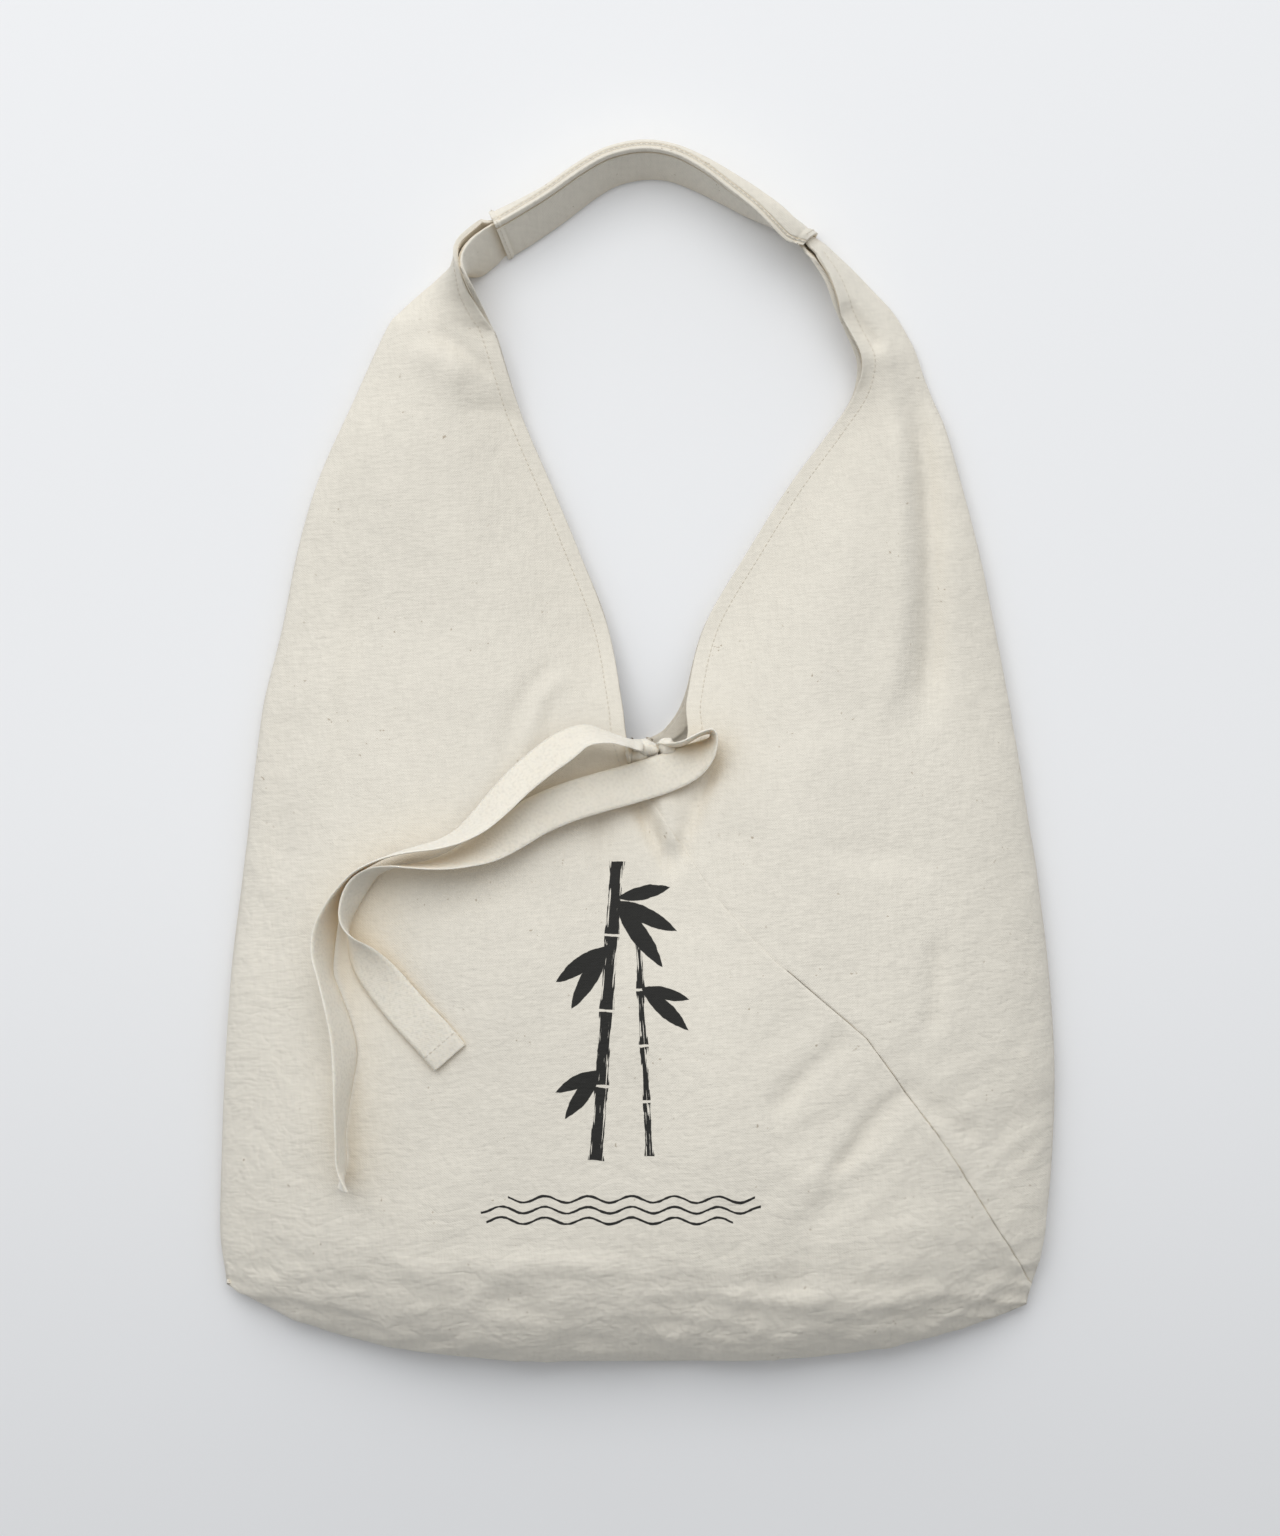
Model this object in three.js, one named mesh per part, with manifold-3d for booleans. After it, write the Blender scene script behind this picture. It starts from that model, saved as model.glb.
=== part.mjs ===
// An azuma bag of unbleached canvas, lying on its back as it is laid out on a table, +Z up.
// Two cloth panels wrap its sides and meet at a slanting seam on the front and another on the back.
// Each panel rises to a long ear, and a folded carrying band is sleeved over both ear tips.
// Two tapes tie the mouth at the foot of the neckline. All sizes are in millimetres.
// The origin is on the surface the bag lies on, under the middle of the bag. +Y points to the band.

import * as THREE from "three";
import { mergeVertices } from "three/addons/utils/BufferGeometryUtils.js";
import Module from "manifold-3d";

const wasm = await Module();
wasm.setup();

// Driving sizes
const bagWidth = 418; // across the widest part of the body
const bagLength = 612; // bottom fold to the crest of the carrying band
const bodyDepth = 56; // highest part of the front above the surface
const clothThickness = 1.6; // one layer of canvas
const hemWidth = 9; // turned-in hem along the neckline
const hemExtra = 0.9; // what the turned-in layer adds to the wall
const sideFoldHeight = 7; // how high the soft side folds lie
const bottomRound = 62; // distance over which the front rolls down to the bottom fold
const backRound = 22; // distance over which the back rolls up to it
const bandWidth = 30; // carrying band and ear necks, edge to fold
const bandThickness = 10; // across the band's loose fold
const bandEdge = 8.4; // across the band's stitched edge at its mouths
const bandSlim = 2.2; // what the band loses in thickness between its mouths
const bandWall = 1.8; // the band's own cloth, two thin layers
const tipInsert = 13; // length of ear tip held in each end of the band
const tipWall = 1.1; // the ear tip's cloth, pressed thin where the band holds it
const tipClearance = 0.7; // around the ear tip in the band
const seamGap = 0.4; // between the two panels along their seams
const tapeWidth = 20; // tie tapes
const tapeThickness = 1.2;
const tapeClearance = 0.7; // between a tape and what it lies on
const knotTapeWidth = 9; // the tape where the half knot gathers it

// The body from the bottom fold to the foot of the neckline. up is the share of that way,
// left and right are the side folds as shares of bagWidth from the middle,
// crown and middle are the front's height off the centre and on it, as shares of bodyDepth.
const bodyRows = [
  { up: 0.0, left: -0.492, right: 0.475, crown: 0.9, middle: 0.88 },
  { up: 0.1, left: -0.4995, right: 0.485, crown: 0.94, middle: 0.9 },
  { up: 0.25, left: -0.498, right: 0.496, crown: 1.0, middle: 0.98 },
  { up: 0.45, left: -0.4935, right: 0.5005, crown: 1.0, middle: 0.97 },
  { up: 0.65, left: -0.485, right: 0.493, crown: 0.94, middle: 0.87 },
  { up: 0.85, left: -0.4705, right: 0.478, crown: 0.84, middle: 0.66 },
  { up: 1.0, left: -0.461, right: 0.4635, crown: 0.76, middle: 0.5 },
];
const neckFoot = { x: 0.006, up: 0.471 }; // foot of the front neckline
const cornerRise = { left: 0.0665, right: 0.0613 }; // bottom corners above the bottom fold
const cornerPower = { left: 4.5, right: 6 }; // how late the bottom fold sweeps up to them

// The ears, their necks and the band, section by section from the left of the neckline's foot,
// over the band, to its right. x and up place the section's middle, as shares of bagWidth and
// bagLength. heading is the way from side fold to neckline in plan, roll lifts the neckline
// edge. spread is the width beyond the band's, as a share of bagWidth, and crown and edge are
// heights beyond the band's, as shares of bodyDepth. backX and backUp move the back neckline.
const spine = [
  { x: -0.2275, up: 0.471, heading: 0, roll: 0, spread: 0.3952, crown: 0.585, edge: 0.35, backX: 0.01, backUp: 0.0392 },
  { x: -0.2325, up: 0.506, heading: 0, roll: 0, spread: 0.3713, crown: 0.5, edge: 0.28, backX: 0.006, backUp: 0.0106 },
  { x: -0.2325, up: 0.5405, heading: 0, roll: 0, spread: 0.357, crown: 0.43, edge: 0.21, backX: -0.002, backUp: 0.0033 },
  { x: -0.23, up: 0.6, heading: 0, roll: 0, spread: 0.3186, crown: 0.32, edge: 0.14, backX: 0, backUp: 0 },
  { x: -0.2383, up: 0.6623, heading: 0, roll: 0, spread: 0.266, crown: 0.27, edge: 0.1, backX: 0, backUp: 0 },
  { x: -0.2437, up: 0.7212, heading: 0, roll: 0, spread: 0.2048, crown: 0.215, edge: 0.08, backX: 0, backUp: 0 },
  { x: -0.2413, up: 0.7776, heading: -2, roll: 0, spread: 0.133, crown: 0.16, edge: 0.065, backX: 0, backUp: 0 },
  { x: -0.234, up: 0.841, heading: -6, roll: 4, spread: 0.062, crown: 0.11, edge: 0.045, backX: 0, backUp: 0 },
  { x: -0.2305, up: 0.8534, heading: -10, roll: 14, spread: 0.04, crown: 0.075, edge: 0.03, backX: 0, backUp: 0 },
  { x: -0.2259, up: 0.8649, heading: -15, roll: 28, spread: 0.02, crown: 0.045, edge: 0.02, backX: 0, backUp: 0 },
  { x: -0.2201, up: 0.8756, heading: -25, roll: 50, spread: 0.012, crown: 0.02, edge: 0.01, backX: 0, backUp: 0 },
  { x: -0.2143, up: 0.8875, heading: -40, roll: 76, spread: 0.02, crown: 0.01, edge: 0, backX: 0, backUp: 0 },
  { x: -0.2069, up: 0.8956, heading: -56, roll: 102, spread: 0.018, crown: 0.01, edge: 0, backX: 0, backUp: 0 },
  { x: -0.1927, up: 0.9037, heading: -67, roll: 121, spread: 0.006, crown: 0, edge: 0, backX: 0, backUp: 0 },
  { x: -0.1778, up: 0.9123, heading: -68, roll: 126, spread: 0, crown: 0, edge: 0, backX: 0, backUp: 0 },
  { x: -0.1641, up: 0.9175, heading: -66, roll: 126, spread: 0, crown: 0, edge: 0, backX: 0, backUp: 0 },
  { x: -0.138, up: 0.9277, heading: -60, roll: 124, spread: 0, crown: 0, edge: 0, backX: 0, backUp: 0 },
  { x: -0.1011, up: 0.9435, heading: -58, roll: 121, spread: 0, crown: 0, edge: 0, backX: 0, backUp: 0 },
  { x: -0.0618, up: 0.963, heading: -57, roll: 119, spread: 0, crown: 0, edge: 0, backX: 0, backUp: 0 },
  { x: -0.0297, up: 0.9752, heading: -66, roll: 118, spread: 0, crown: 0, edge: 0, backX: 0, backUp: 0 },
  { x: 0.0071, up: 0.9805, heading: -90, roll: 117, spread: 0, crown: 0, edge: 0, backX: 0, backUp: 0 },
  { x: 0.0416, up: 0.978, heading: -107, roll: 115, spread: 0, crown: 0, edge: 0, backX: 0, backUp: 0 },
  { x: 0.0749, up: 0.9683, heading: -117, roll: 108, spread: 0, crown: 0, edge: 0, backX: 0, backUp: 0 },
  { x: 0.1094, up: 0.9545, heading: -121, roll: 96, spread: 0, crown: 0, edge: 0, backX: 0, backUp: 0 },
  { x: 0.1427, up: 0.9411, heading: -122, roll: 80, spread: 0, crown: 0, edge: 0, backX: 0, backUp: 0 },
  { x: 0.1748, up: 0.9289, heading: -124, roll: 70, spread: 0, crown: 0, edge: 0, backX: 0, backUp: 0 },
  { x: 0.206, up: 0.9147, heading: -132, roll: 68, spread: 0, crown: 0, edge: 0, backX: 0, backUp: 0 },
  { x: 0.2202, up: 0.9033, heading: -140, roll: 66, spread: 0, crown: 0.005, edge: 0, backX: 0, backUp: 0 },
  { x: 0.2417, up: 0.8862, heading: -147, roll: 58, spread: 0.003, crown: 0.015, edge: 0.005, backX: 0, backUp: 0 },
  { x: 0.2607, up: 0.8667, heading: -151, roll: 46, spread: 0.007, crown: 0.03, edge: 0.01, backX: 0, backUp: 0 },
  { x: 0.2791, up: 0.8487, heading: -156, roll: 35, spread: 0.008, crown: 0.05, edge: 0.02, backX: 0, backUp: 0 },
  { x: 0.2966, up: 0.825, heading: -162, roll: 27, spread: 0.0084, crown: 0.07, edge: 0.03, backX: 0, backUp: 0 },
  { x: 0.3026, up: 0.8054, heading: -171, roll: 16, spread: 0.0132, crown: 0.09, edge: 0.04, backX: 0, backUp: 0 },
  { x: 0.305, up: 0.7858, heading: -178, roll: 6, spread: 0.03, crown: 0.12, edge: 0.05, backX: 0, backUp: 0 },
  { x: 0.3014, up: 0.7621, heading: -180, roll: 0, spread: 0.066, crown: 0.15, edge: 0.065, backX: 0, backUp: 0 },
  { x: 0.2862, up: 0.7171, heading: -180, roll: 0, spread: 0.1341, crown: 0.2, edge: 0.08, backX: 0, backUp: 0 },
  { x: 0.2713, up: 0.6631, heading: -180, roll: 0, spread: 0.2048, crown: 0.27, edge: 0.1, backX: 0, backUp: 0 },
  { x: 0.2545, up: 0.601, heading: -180, roll: 0, spread: 0.2766, crown: 0.34, edge: 0.14, backX: -0.008, backUp: 0 },
  { x: 0.2521, up: 0.5405, heading: -180, roll: 0, spread: 0.315, crown: 0.43, edge: 0.21, backX: -0.012, backUp: 0.0016 },
  { x: 0.2551, up: 0.506, heading: -180, roll: 0, spread: 0.3258, crown: 0.5, edge: 0.28, backX: -0.026, backUp: 0.0123 },
  { x: 0.2347, up: 0.471, heading: -180, roll: 0, spread: 0.3857, crown: 0.585, edge: 0.35, backX: 0.01, backUp: 0.0392 },
];
const leftMouth = 15; // the section at the band's left mouth
const rightMouth = 26; // and at its right mouth

// Where the front and back seams run below the neckline's foot, as shares of bagWidth and bagLength
const frontSeam = [
  { x: 0.0934, up: 0.382 },
  { x: 0.1473, up: 0.34 },
  { x: 0.2671, up: 0.27 },
  { x: 0.3629, up: 0.1806 },
  { x: 0.475, up: 0.0613 },
];
const backSeam = [
  { x: -0.1, up: 0.39 },
  { x: -0.28, up: 0.25 },
  { x: -0.492, up: 0.0665 },
];

// The tape routes, from the sewn root to the hemmed end: x and up as shares of bagWidth and
// bagLength, tilt turns the tape about its own length from lying flat, lift raises it by
// shares of its width off what lies under it.
const upperTape = [
  { x: 0.007, up: 0.5071, tilt: -60, lift: 0.62 },
  { x: -0.0093, up: 0.5111, tilt: -66, lift: 0.4 },
  { x: -0.0336, up: 0.515, tilt: -64, lift: 0.5 },
  { x: -0.0614, up: 0.5119, tilt: -50, lift: 0.5 },
  { x: -0.0869, up: 0.5016, tilt: -40, lift: 0.42 },
  { x: -0.1112, up: 0.4897, tilt: -40, lift: 0.35 },
  { x: -0.1355, up: 0.4755, tilt: -42, lift: 0.3 },
  { x: -0.1587, up: 0.4596, tilt: -45, lift: 0.3 },
  { x: -0.1819, up: 0.4438, tilt: -54, lift: 0.3 },
  { x: -0.205, up: 0.432, tilt: -68, lift: 0.28 },
  { x: -0.2305, up: 0.4248, tilt: -78, lift: 0.25 },
  { x: -0.256, up: 0.4209, tilt: -84, lift: 0.2 },
  { x: -0.2803, up: 0.4169, tilt: -88, lift: 0.15 },
  { x: -0.3047, up: 0.4106, tilt: -92, lift: 0.1 },
  { x: -0.3267, up: 0.4019, tilt: -95, lift: 0.08 },
  { x: -0.3429, up: 0.3892, tilt: -100, lift: 0.05 },
  { x: -0.3556, up: 0.3734, tilt: -110, lift: 0 },
  { x: -0.3638, up: 0.356, tilt: -120, lift: 0 },
  { x: -0.3661, up: 0.3378, tilt: -118, lift: 0 },
  { x: -0.3626, up: 0.3196, tilt: -108, lift: 0 },
  { x: -0.3533, up: 0.2998, tilt: -112, lift: 0 },
  { x: -0.3441, up: 0.2785, tilt: -119, lift: 0 },
  { x: -0.3394, up: 0.2579, tilt: -122, lift: 0 },
  { x: -0.3406, up: 0.2373, tilt: -114, lift: 0 },
  { x: -0.3429, up: 0.2152, tilt: -106, lift: 0 },
  { x: -0.3441, up: 0.1914, tilt: -99, lift: 0 },
  { x: -0.3429, up: 0.1693, tilt: -95, lift: 0 },
  { x: -0.3417, up: 0.1503, tilt: -92, lift: 0 },
];
const lowerTape = [
  { x: 0.0244, up: 0.5008, tilt: -40, lift: 0.75 },
  { x: 0.0372, up: 0.504, tilt: -58, lift: 0.45 },
  { x: 0.0546, up: 0.5087, tilt: -72, lift: 0.15 },
  { x: 0.0755, up: 0.5135, tilt: -80, lift: 0.1 },
  { x: 0.0895, up: 0.5127, tilt: -82, lift: 0.06 },
  { x: 0.0929, up: 0.5056, tilt: -76, lift: 0.02 },
  { x: 0.0825, up: 0.496, tilt: -52, lift: 0 },
  { x: 0.0593, up: 0.4873, tilt: -28, lift: 0.04 },
  { x: 0.0267, up: 0.4794, tilt: -16, lift: 0.08 },
  { x: -0.0081, up: 0.4722, tilt: -14, lift: 0.1 },
  { x: -0.0453, up: 0.4651, tilt: -14, lift: 0.12 },
  { x: -0.0825, up: 0.4572, tilt: -14, lift: 0.12 },
  { x: -0.1173, up: 0.4468, tilt: -14, lift: 0.1 },
  { x: -0.1452, up: 0.4349, tilt: -20, lift: 0.08 },
  { x: -0.1708, up: 0.4246, tilt: -32, lift: 0.04 },
  { x: -0.194, up: 0.4175, tilt: -50, lift: 0 },
  { x: -0.2173, up: 0.4119, tilt: -66, lift: 0 },
  { x: -0.2405, up: 0.4087, tilt: -78, lift: 0 },
  { x: -0.2637, up: 0.4072, tilt: -87, lift: 0 },
  { x: -0.287, up: 0.4064, tilt: -94, lift: 0 },
  { x: -0.3079, up: 0.4016, tilt: -106, lift: 0 },
  { x: -0.3241, up: 0.3913, tilt: -117, lift: 0 },
  { x: -0.3346, up: 0.377, tilt: -114, lift: 0 },
  { x: -0.3392, up: 0.3627, tilt: -100, lift: 0 },
  { x: -0.3334, up: 0.3484, tilt: -74, lift: 0 },
  { x: -0.3172, up: 0.3326, tilt: -38, lift: 0 },
  { x: -0.2951, up: 0.3143, tilt: -14, lift: 0 },
  { x: -0.2672, up: 0.2921, tilt: -4, lift: 0 },
  { x: -0.2405, up: 0.2731, tilt: 0, lift: 0 },
  { x: -0.2173, up: 0.2548, tilt: 0, lift: 0 },
];
// The half knot's turn, over both tapes where they cross.
const knotTurn = [
  { x: -0.0165, up: 0.4955, tilt: 10, lift: 0.5 },
  { x: -0.008, up: 0.5005, tilt: 4, lift: 0.5 },
  { x: 0.002, up: 0.5055, tilt: 0, lift: 0.2 },
  { x: 0.013, up: 0.5095, tilt: 0, lift: 0.2 },
  { x: 0.024, up: 0.5115, tilt: -4, lift: 0.12 },
  { x: 0.034, up: 0.512, tilt: -10, lift: 0 },
];

const canvasColour = 0xddd7ca;
const tapeColour = 0xe2dccf;
const edgeSharpness = 2.4; // how squarely a section ends at its side fold
const backFlatness = 7; // millimetres of width for each further power of flatness below
const crownAt = 0.45; // share of a section's width at which its front is highest

const tapeSteps = 84; // stations along a tape
const knotSteps = 14;
const tapeReach = 2; // stations over which a tape bridges what it lies on

const degrees = Math.PI / 180;
const lerp = THREE.MathUtils.lerp;
const clamp = THREE.MathUtils.clamp;
const smooth = (t) => THREE.MathUtils.smoothstep(t, 0, 1);

// A value between the rows of a table, curving smoothly through them.
function between(rows, column, at) {
  const i = clamp(Math.floor(at), 0, rows.length - 2);
  const t = at - i;
  const value = (n) => rows[clamp(n, 0, rows.length - 1)][column];
  const [a, b, c, d] = [value(i - 1), value(i), value(i + 1), value(i + 2)];
  const slopeIn = (c - a) / 2;
  const slopeOut = (d - b) / 2;
  const cube = 2 * (b - c) + slopeIn + slopeOut;
  const square = 3 * (c - b) - 2 * slopeIn - slopeOut;
  return ((cube * t + square) * t + slopeIn) * t + b;
}

// The row number at which a rising column has a given value.
function rowOf(rows, column, value) {
  let i = 0;
  while (i < rows.length - 2 && rows[i + 1][column] < value) i += 1;
  return i + (value - rows[i][column]) / (rows[i + 1][column] - rows[i][column]);
}

// A section's front and back heights at the share v of the way from neckline edge to side fold.
function heights(width, crown, edge, v) {
  const top = edge + (crown - edge) * smooth(v / crownAt);
  const fold = Math.min(crown / 2, sideFoldHeight);
  const backPower = edgeSharpness + Math.max(0, width - bandWidth) / backFlatness;
  const front = fold + (top - fold) * Math.pow(1 - Math.pow(v, edgeSharpness), 0.55);
  const back = fold * (1 - Math.sqrt(1 - Math.pow(v, backPower)));
  return { front, back, fold };
}

// Roll-off from 0 at the bottom fold to 1 at a distance from it.
function rollOff(distance, reach) {
  const left = 1 - Math.min(distance / reach, 1);
  return Math.sqrt(1 - left * left);
}

// A point of the body below the neckline's foot. side is -1 for left and 1 for right,
// up the share of the way up, v the share of the way from the centre to the side fold.
function bodyPoint(side, up, v, isFront) {
  const name = side < 0 ? "left" : "right";
  const row = rowOf(bodyRows, "up", up);
  const centre = neckFoot.x * bagWidth;
  const x = lerp(centre, between(bodyRows, name, row) * bagWidth, v);
  const bottom = cornerRise[name] * Math.pow(v, cornerPower[name]);
  const y = lerp(bottom, neckFoot.up, up) * bagLength;
  const width = Math.abs(between(bodyRows, name, row) * bagWidth - centre);
  const crown = between(bodyRows, "crown", row) * bodyDepth;
  const middle = between(bodyRows, "middle", row) * bodyDepth;
  const h = heights(width, crown, middle, v);
  const distance = up * neckFoot.up * bagLength;
  const foot = spine[0];
  const pull = Math.pow(1 - v, 3) * Math.pow(up, 4);
  return isFront
    ? new THREE.Vector3(x, y, h.fold + (h.front - h.fold) * rollOff(distance, bottomRound))
    : new THREE.Vector3(
        x + foot.backX * bagWidth * pull,
        y + foot.backUp * bagLength * pull,
        h.fold - (h.fold - h.back) * rollOff(distance, backRound),
      );
}

// The frame of one section of the ears and the band, at row number at, drawn in by inset.
function section(at, inset) {
  const get = (column) => between(spine, column, at);
  const heading = get("heading") * degrees;
  const roll = get("roll") * degrees;
  const inBand = clamp((at - leftMouth) / 2, 0, 1) * clamp((rightMouth - at) / 2, 0, 1);
  const width = bandWidth + get("spread") * bagWidth - 2 * inset;
  const crown = bandThickness - bandSlim * inBand + get("crown") * bodyDepth - 2 * inset;
  const edge = bandEdge - 1.6 * bandSlim * inBand + get("edge") * bodyDepth - 2 * inset;
  return {
    middle: new THREE.Vector2(get("x") * bagWidth, get("up") * bagLength),
    inward: new THREE.Vector2(Math.cos(heading), Math.sin(heading)),
    roll,
    width,
    crown,
    edge,
    inset,
    backX: get("backX") * bagWidth,
    backUp: get("backUp") * bagLength,
  };
}

// A section's point before it is set down on the surface.
function sectionPoint(s, v, isFront) {
  const h = heights(s.width, s.crown, s.edge, v);
  const along = (0.5 - v) * s.width;
  const off = (isFront ? h.front : h.back) - s.crown / 2;
  const inPlan = along * Math.cos(s.roll) - off * Math.sin(s.roll);
  const pull = isFront ? 0 : Math.pow(1 - v, 3);
  return new THREE.Vector3(
    s.middle.x + inPlan * s.inward.x + s.backX * pull,
    s.middle.y + inPlan * s.inward.y + s.backUp * pull,
    along * Math.sin(s.roll) + off * Math.cos(s.roll),
  );
}

// Shares of the way from the neckline edge to the side fold: one at the hem, then closer
// together towards the fold.
function columns(width, count) {
  const hem = Math.min(hemWidth / width, 0.3);
  const shares = [0, hem];
  for (let i = 1; i <= count; i += 1) shares.push(lerp(hem, 1, 1 - Math.pow(1 - i / count, 1.5)));
  return shares;
}

const frontColumns = 10;
const backColumns = 8;

// All points across one section, from the front's neckline edge round the fold to the back's.
function acrossSection(s) {
  const front = columns(s.width, frontColumns).map((v) => sectionPoint(s, v, true));
  const back = columns(s.width, backColumns).map((v) => sectionPoint(s, v, false));
  const points = [...front, ...back.reverse().slice(1)];
  return points;
}

// Sets points down so that the lowest of the uncut section touches the surface.
function setDown(points, s) {
  const outer = { ...s, width: s.width + 2 * s.inset, crown: s.crown + 2 * s.inset, edge: s.edge + 2 * s.inset };
  const lowest = Math.min(...acrossSection(outer).map((p) => p.z));
  return points.map((p) => p.clone().setZ(p.z - lowest));
}

function acrossBody(side, up) {
  const row = rowOf(bodyRows, "up", up);
  const edge = between(bodyRows, side < 0 ? "left" : "right", row) * bagWidth;
  const width = Math.abs(edge - neckFoot.x * bagWidth);
  const front = columns(width, frontColumns).map((v) => bodyPoint(side, up, v, true));
  const back = columns(width, backColumns).map((v) => bodyPoint(side, up, v, false));
  return [...front, ...back.reverse().slice(1)];
}

const bodySteps = 14;
const bodyUps = [];
for (let i = 0; i < bodySteps; i += 1) bodyUps.push(Math.pow(i / bodySteps, 1.7));

const neckRows = 5; // sections of twisting neck next to the band, where rows are twice as close

// How far an ear's section is drawn in so that it enters the band.
const sleeveInset = bandWall + tipClearance;
function tipInset(at, mouth, way) {
  return sleeveInset * smooth(1 + (at - mouth) * way);
}

// Rows of one half of the cloth, from the bottom fold to the ear's tip.
function halfRows(side) {
  const rows = bodyUps.map((up) => acrossBody(side, up));
  const way = side < 0 ? 1 : -1;
  const mouth = side < 0 ? leftMouth : rightMouth;
  const foot = side < 0 ? 0 : spine.length - 1;
  const steps = [];
  for (let left = Math.abs(mouth - foot); left >= 0; left -= left > neckRows ? 1 : 0.5)
    steps.push(mouth - way * left);
  steps.push(mouth + (way * tipInsert) / spineLength(mouth, mouth + way));
  for (const at of steps) {
    const s = section(at, tipInset(at, mouth, way));
    rows.push(setDown(acrossSection(s), s));
  }
  return rows;
}

function spineLength(from, to) {
  return section(from, 0).middle.distanceTo(section(to, 0).middle);
}

// Collects triangles on shared points.
class Skin {
  constructor() {
    this.points = [];
    this.faces = [];
    this.found = new Map();
  }

  point(p) {
    const key = [p.x, p.y, p.z].map((c) => Math.round(c * 200)).join();
    if (!this.found.has(key)) {
      this.found.set(key, this.points.length);
      this.points.push(p.clone());
    }
    return this.found.get(key);
  }

  face(a, b, c) {
    if (a !== b && b !== c && c !== a) this.faces.push([a, b, c]);
  }

  quad(a, b, c, d) {
    this.face(a, b, c);
    this.face(a, c, d);
  }

  // Outward unit normals, shared by the faces that meet at a point.
  normals() {
    const sum = this.points.map(() => new THREE.Vector3());
    for (const [a, b, c] of this.faces) {
      const [p, q, r] = [this.points[a], this.points[b], this.points[c]];
      const n = q.clone().sub(p).cross(r.clone().sub(p));
      for (const i of [a, b, c]) sum[i].add(n);
    }
    return sum.map((n) => n.normalize());
  }

  // Edges with a face on one side only, as a map from start to end.
  rim() {
    const open = new Map();
    for (const [a, b, c] of this.faces)
      for (const [m, n] of [[a, b], [b, c], [c, a]]) {
        const back = n + ":" + m;
        if (open.has(back)) open.delete(back);
        else open.set(m + ":" + n, [m, n]);
      }
    return [...open.values()];
  }

  geometry() {
    const flat = this.points.flatMap((p) => [p.x, p.y, p.z]);
    return new THREE.BufferGeometry()
      .setAttribute("position", new THREE.BufferAttribute(new Float32Array(flat), 3))
      .setIndex(this.faces.flat());
  }
}

// A skin given a wall inwards: wall(i) is its thickness at point i.
function thicken(skin, wall) {
  const normals = skin.normals();
  const inner = skin.points.map((p, i) => p.clone().addScaledVector(normals[i], -wall(i)));
  const solid = new Skin();
  const count = skin.points.length;
  solid.points = [...skin.points, ...inner];
  for (const [a, b, c] of skin.faces) {
    solid.face(a, b, c);
    solid.face(count + a, count + c, count + b);
  }
  for (const [a, b] of skin.rim()) solid.quad(b, a, count + a, count + b);
  return solid;
}

// The whole cloth: both halves on one skin, with a wall.
function clothSkin() {
  const skin = new Skin();
  const walls = new Map();
  for (const side of [-1, 1]) {
    const rows = halfRows(side);
    const ids = rows.map((row) => row.map((p) => skin.point(p)));
    rows.forEach((row, j) => {
      const toMouth = rows.length - 2 - j;
      const plain = lerp(tipWall, clothThickness, clamp(toMouth / 3, 0, 1));
      const hem = j < bodySteps ? 0 : hemExtra * clamp(toMouth / 6, 0, 1);
      const hemmed = [0, 1, row.length - 2, row.length - 1];
      row.forEach((p, i) => walls.set(ids[j][i], plain + (hemmed.includes(i) ? hem : 0)));
    });
    for (let j = 0; j + 1 < ids.length; j += 1)
      for (let i = 0; i + 1 < ids[j].length; i += 1) {
        const [a, b, c, d] = [ids[j][i], ids[j][i + 1], ids[j + 1][i + 1], ids[j + 1][i]];
        if (side < 0) skin.quad(a, d, c, b);
        else skin.quad(a, b, c, d);
      }
  }
  return thicken(skin, (i) => walls.get(i));
}

function manifold(geometry) {
  const bare = geometry.clone();
  bare.deleteAttribute("normal");
  bare.deleteAttribute("uv");
  const merged = mergeVertices(bare, 1e-4);
  return new wasm.Manifold(
    new wasm.Mesh({
      numProp: 3,
      vertProperties: merged.attributes.position.array,
      triVerts: new Uint32Array(merged.index.array),
    }),
  );
}

// A cut cloth without the crumbs that a cut leaves at its folds.
function largest(solid) {
  const bodies = solid.decompose();
  return bodies.reduce((best, body) => (body.volume() > best.volume() ? body : best));
}

function geometryOf(solid) {
  const mesh = solid.getMesh();
  return new THREE.BufferGeometry()
    .setAttribute("position", new THREE.BufferAttribute(new Float32Array(mesh.vertProperties), 3))
    .setIndex(new THREE.BufferAttribute(new Uint32Array(mesh.triVerts), 1));
}

// The block of space that the left panel's cloth lies in, grown by a gap along its seams.
function leftSpace(gap) {
  const far = bagWidth + bagLength;
  const foot = { x: neckFoot.x, up: neckFoot.up };
  const slab = (seam, corner, low, high) => {
    const shape = new THREE.Shape();
    shape.moveTo(foot.x * bagWidth + gap, far);
    for (const p of [foot, ...seam]) shape.lineTo(p.x * bagWidth + gap, p.up * bagLength);
    for (const [x, y] of corner) shape.lineTo(x, y);
    shape.lineTo(-far, far);
    const made = new THREE.ExtrudeGeometry(shape, { depth: high - low, bevelEnabled: false });
    return manifold(made.translate(0, 0, low));
  };
  const level = sideFoldHeight;
  const backFoot = { x: foot.x + spine[0].backX, up: foot.up + spine[0].backUp };
  const front = slab(frontSeam, [[far, -far], [-far, -far]], level - gap, far);
  const back = slab([backFoot, ...backSeam].slice(1), [[-far, -far]], -far, level);
  return front.add(back);
}

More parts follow.
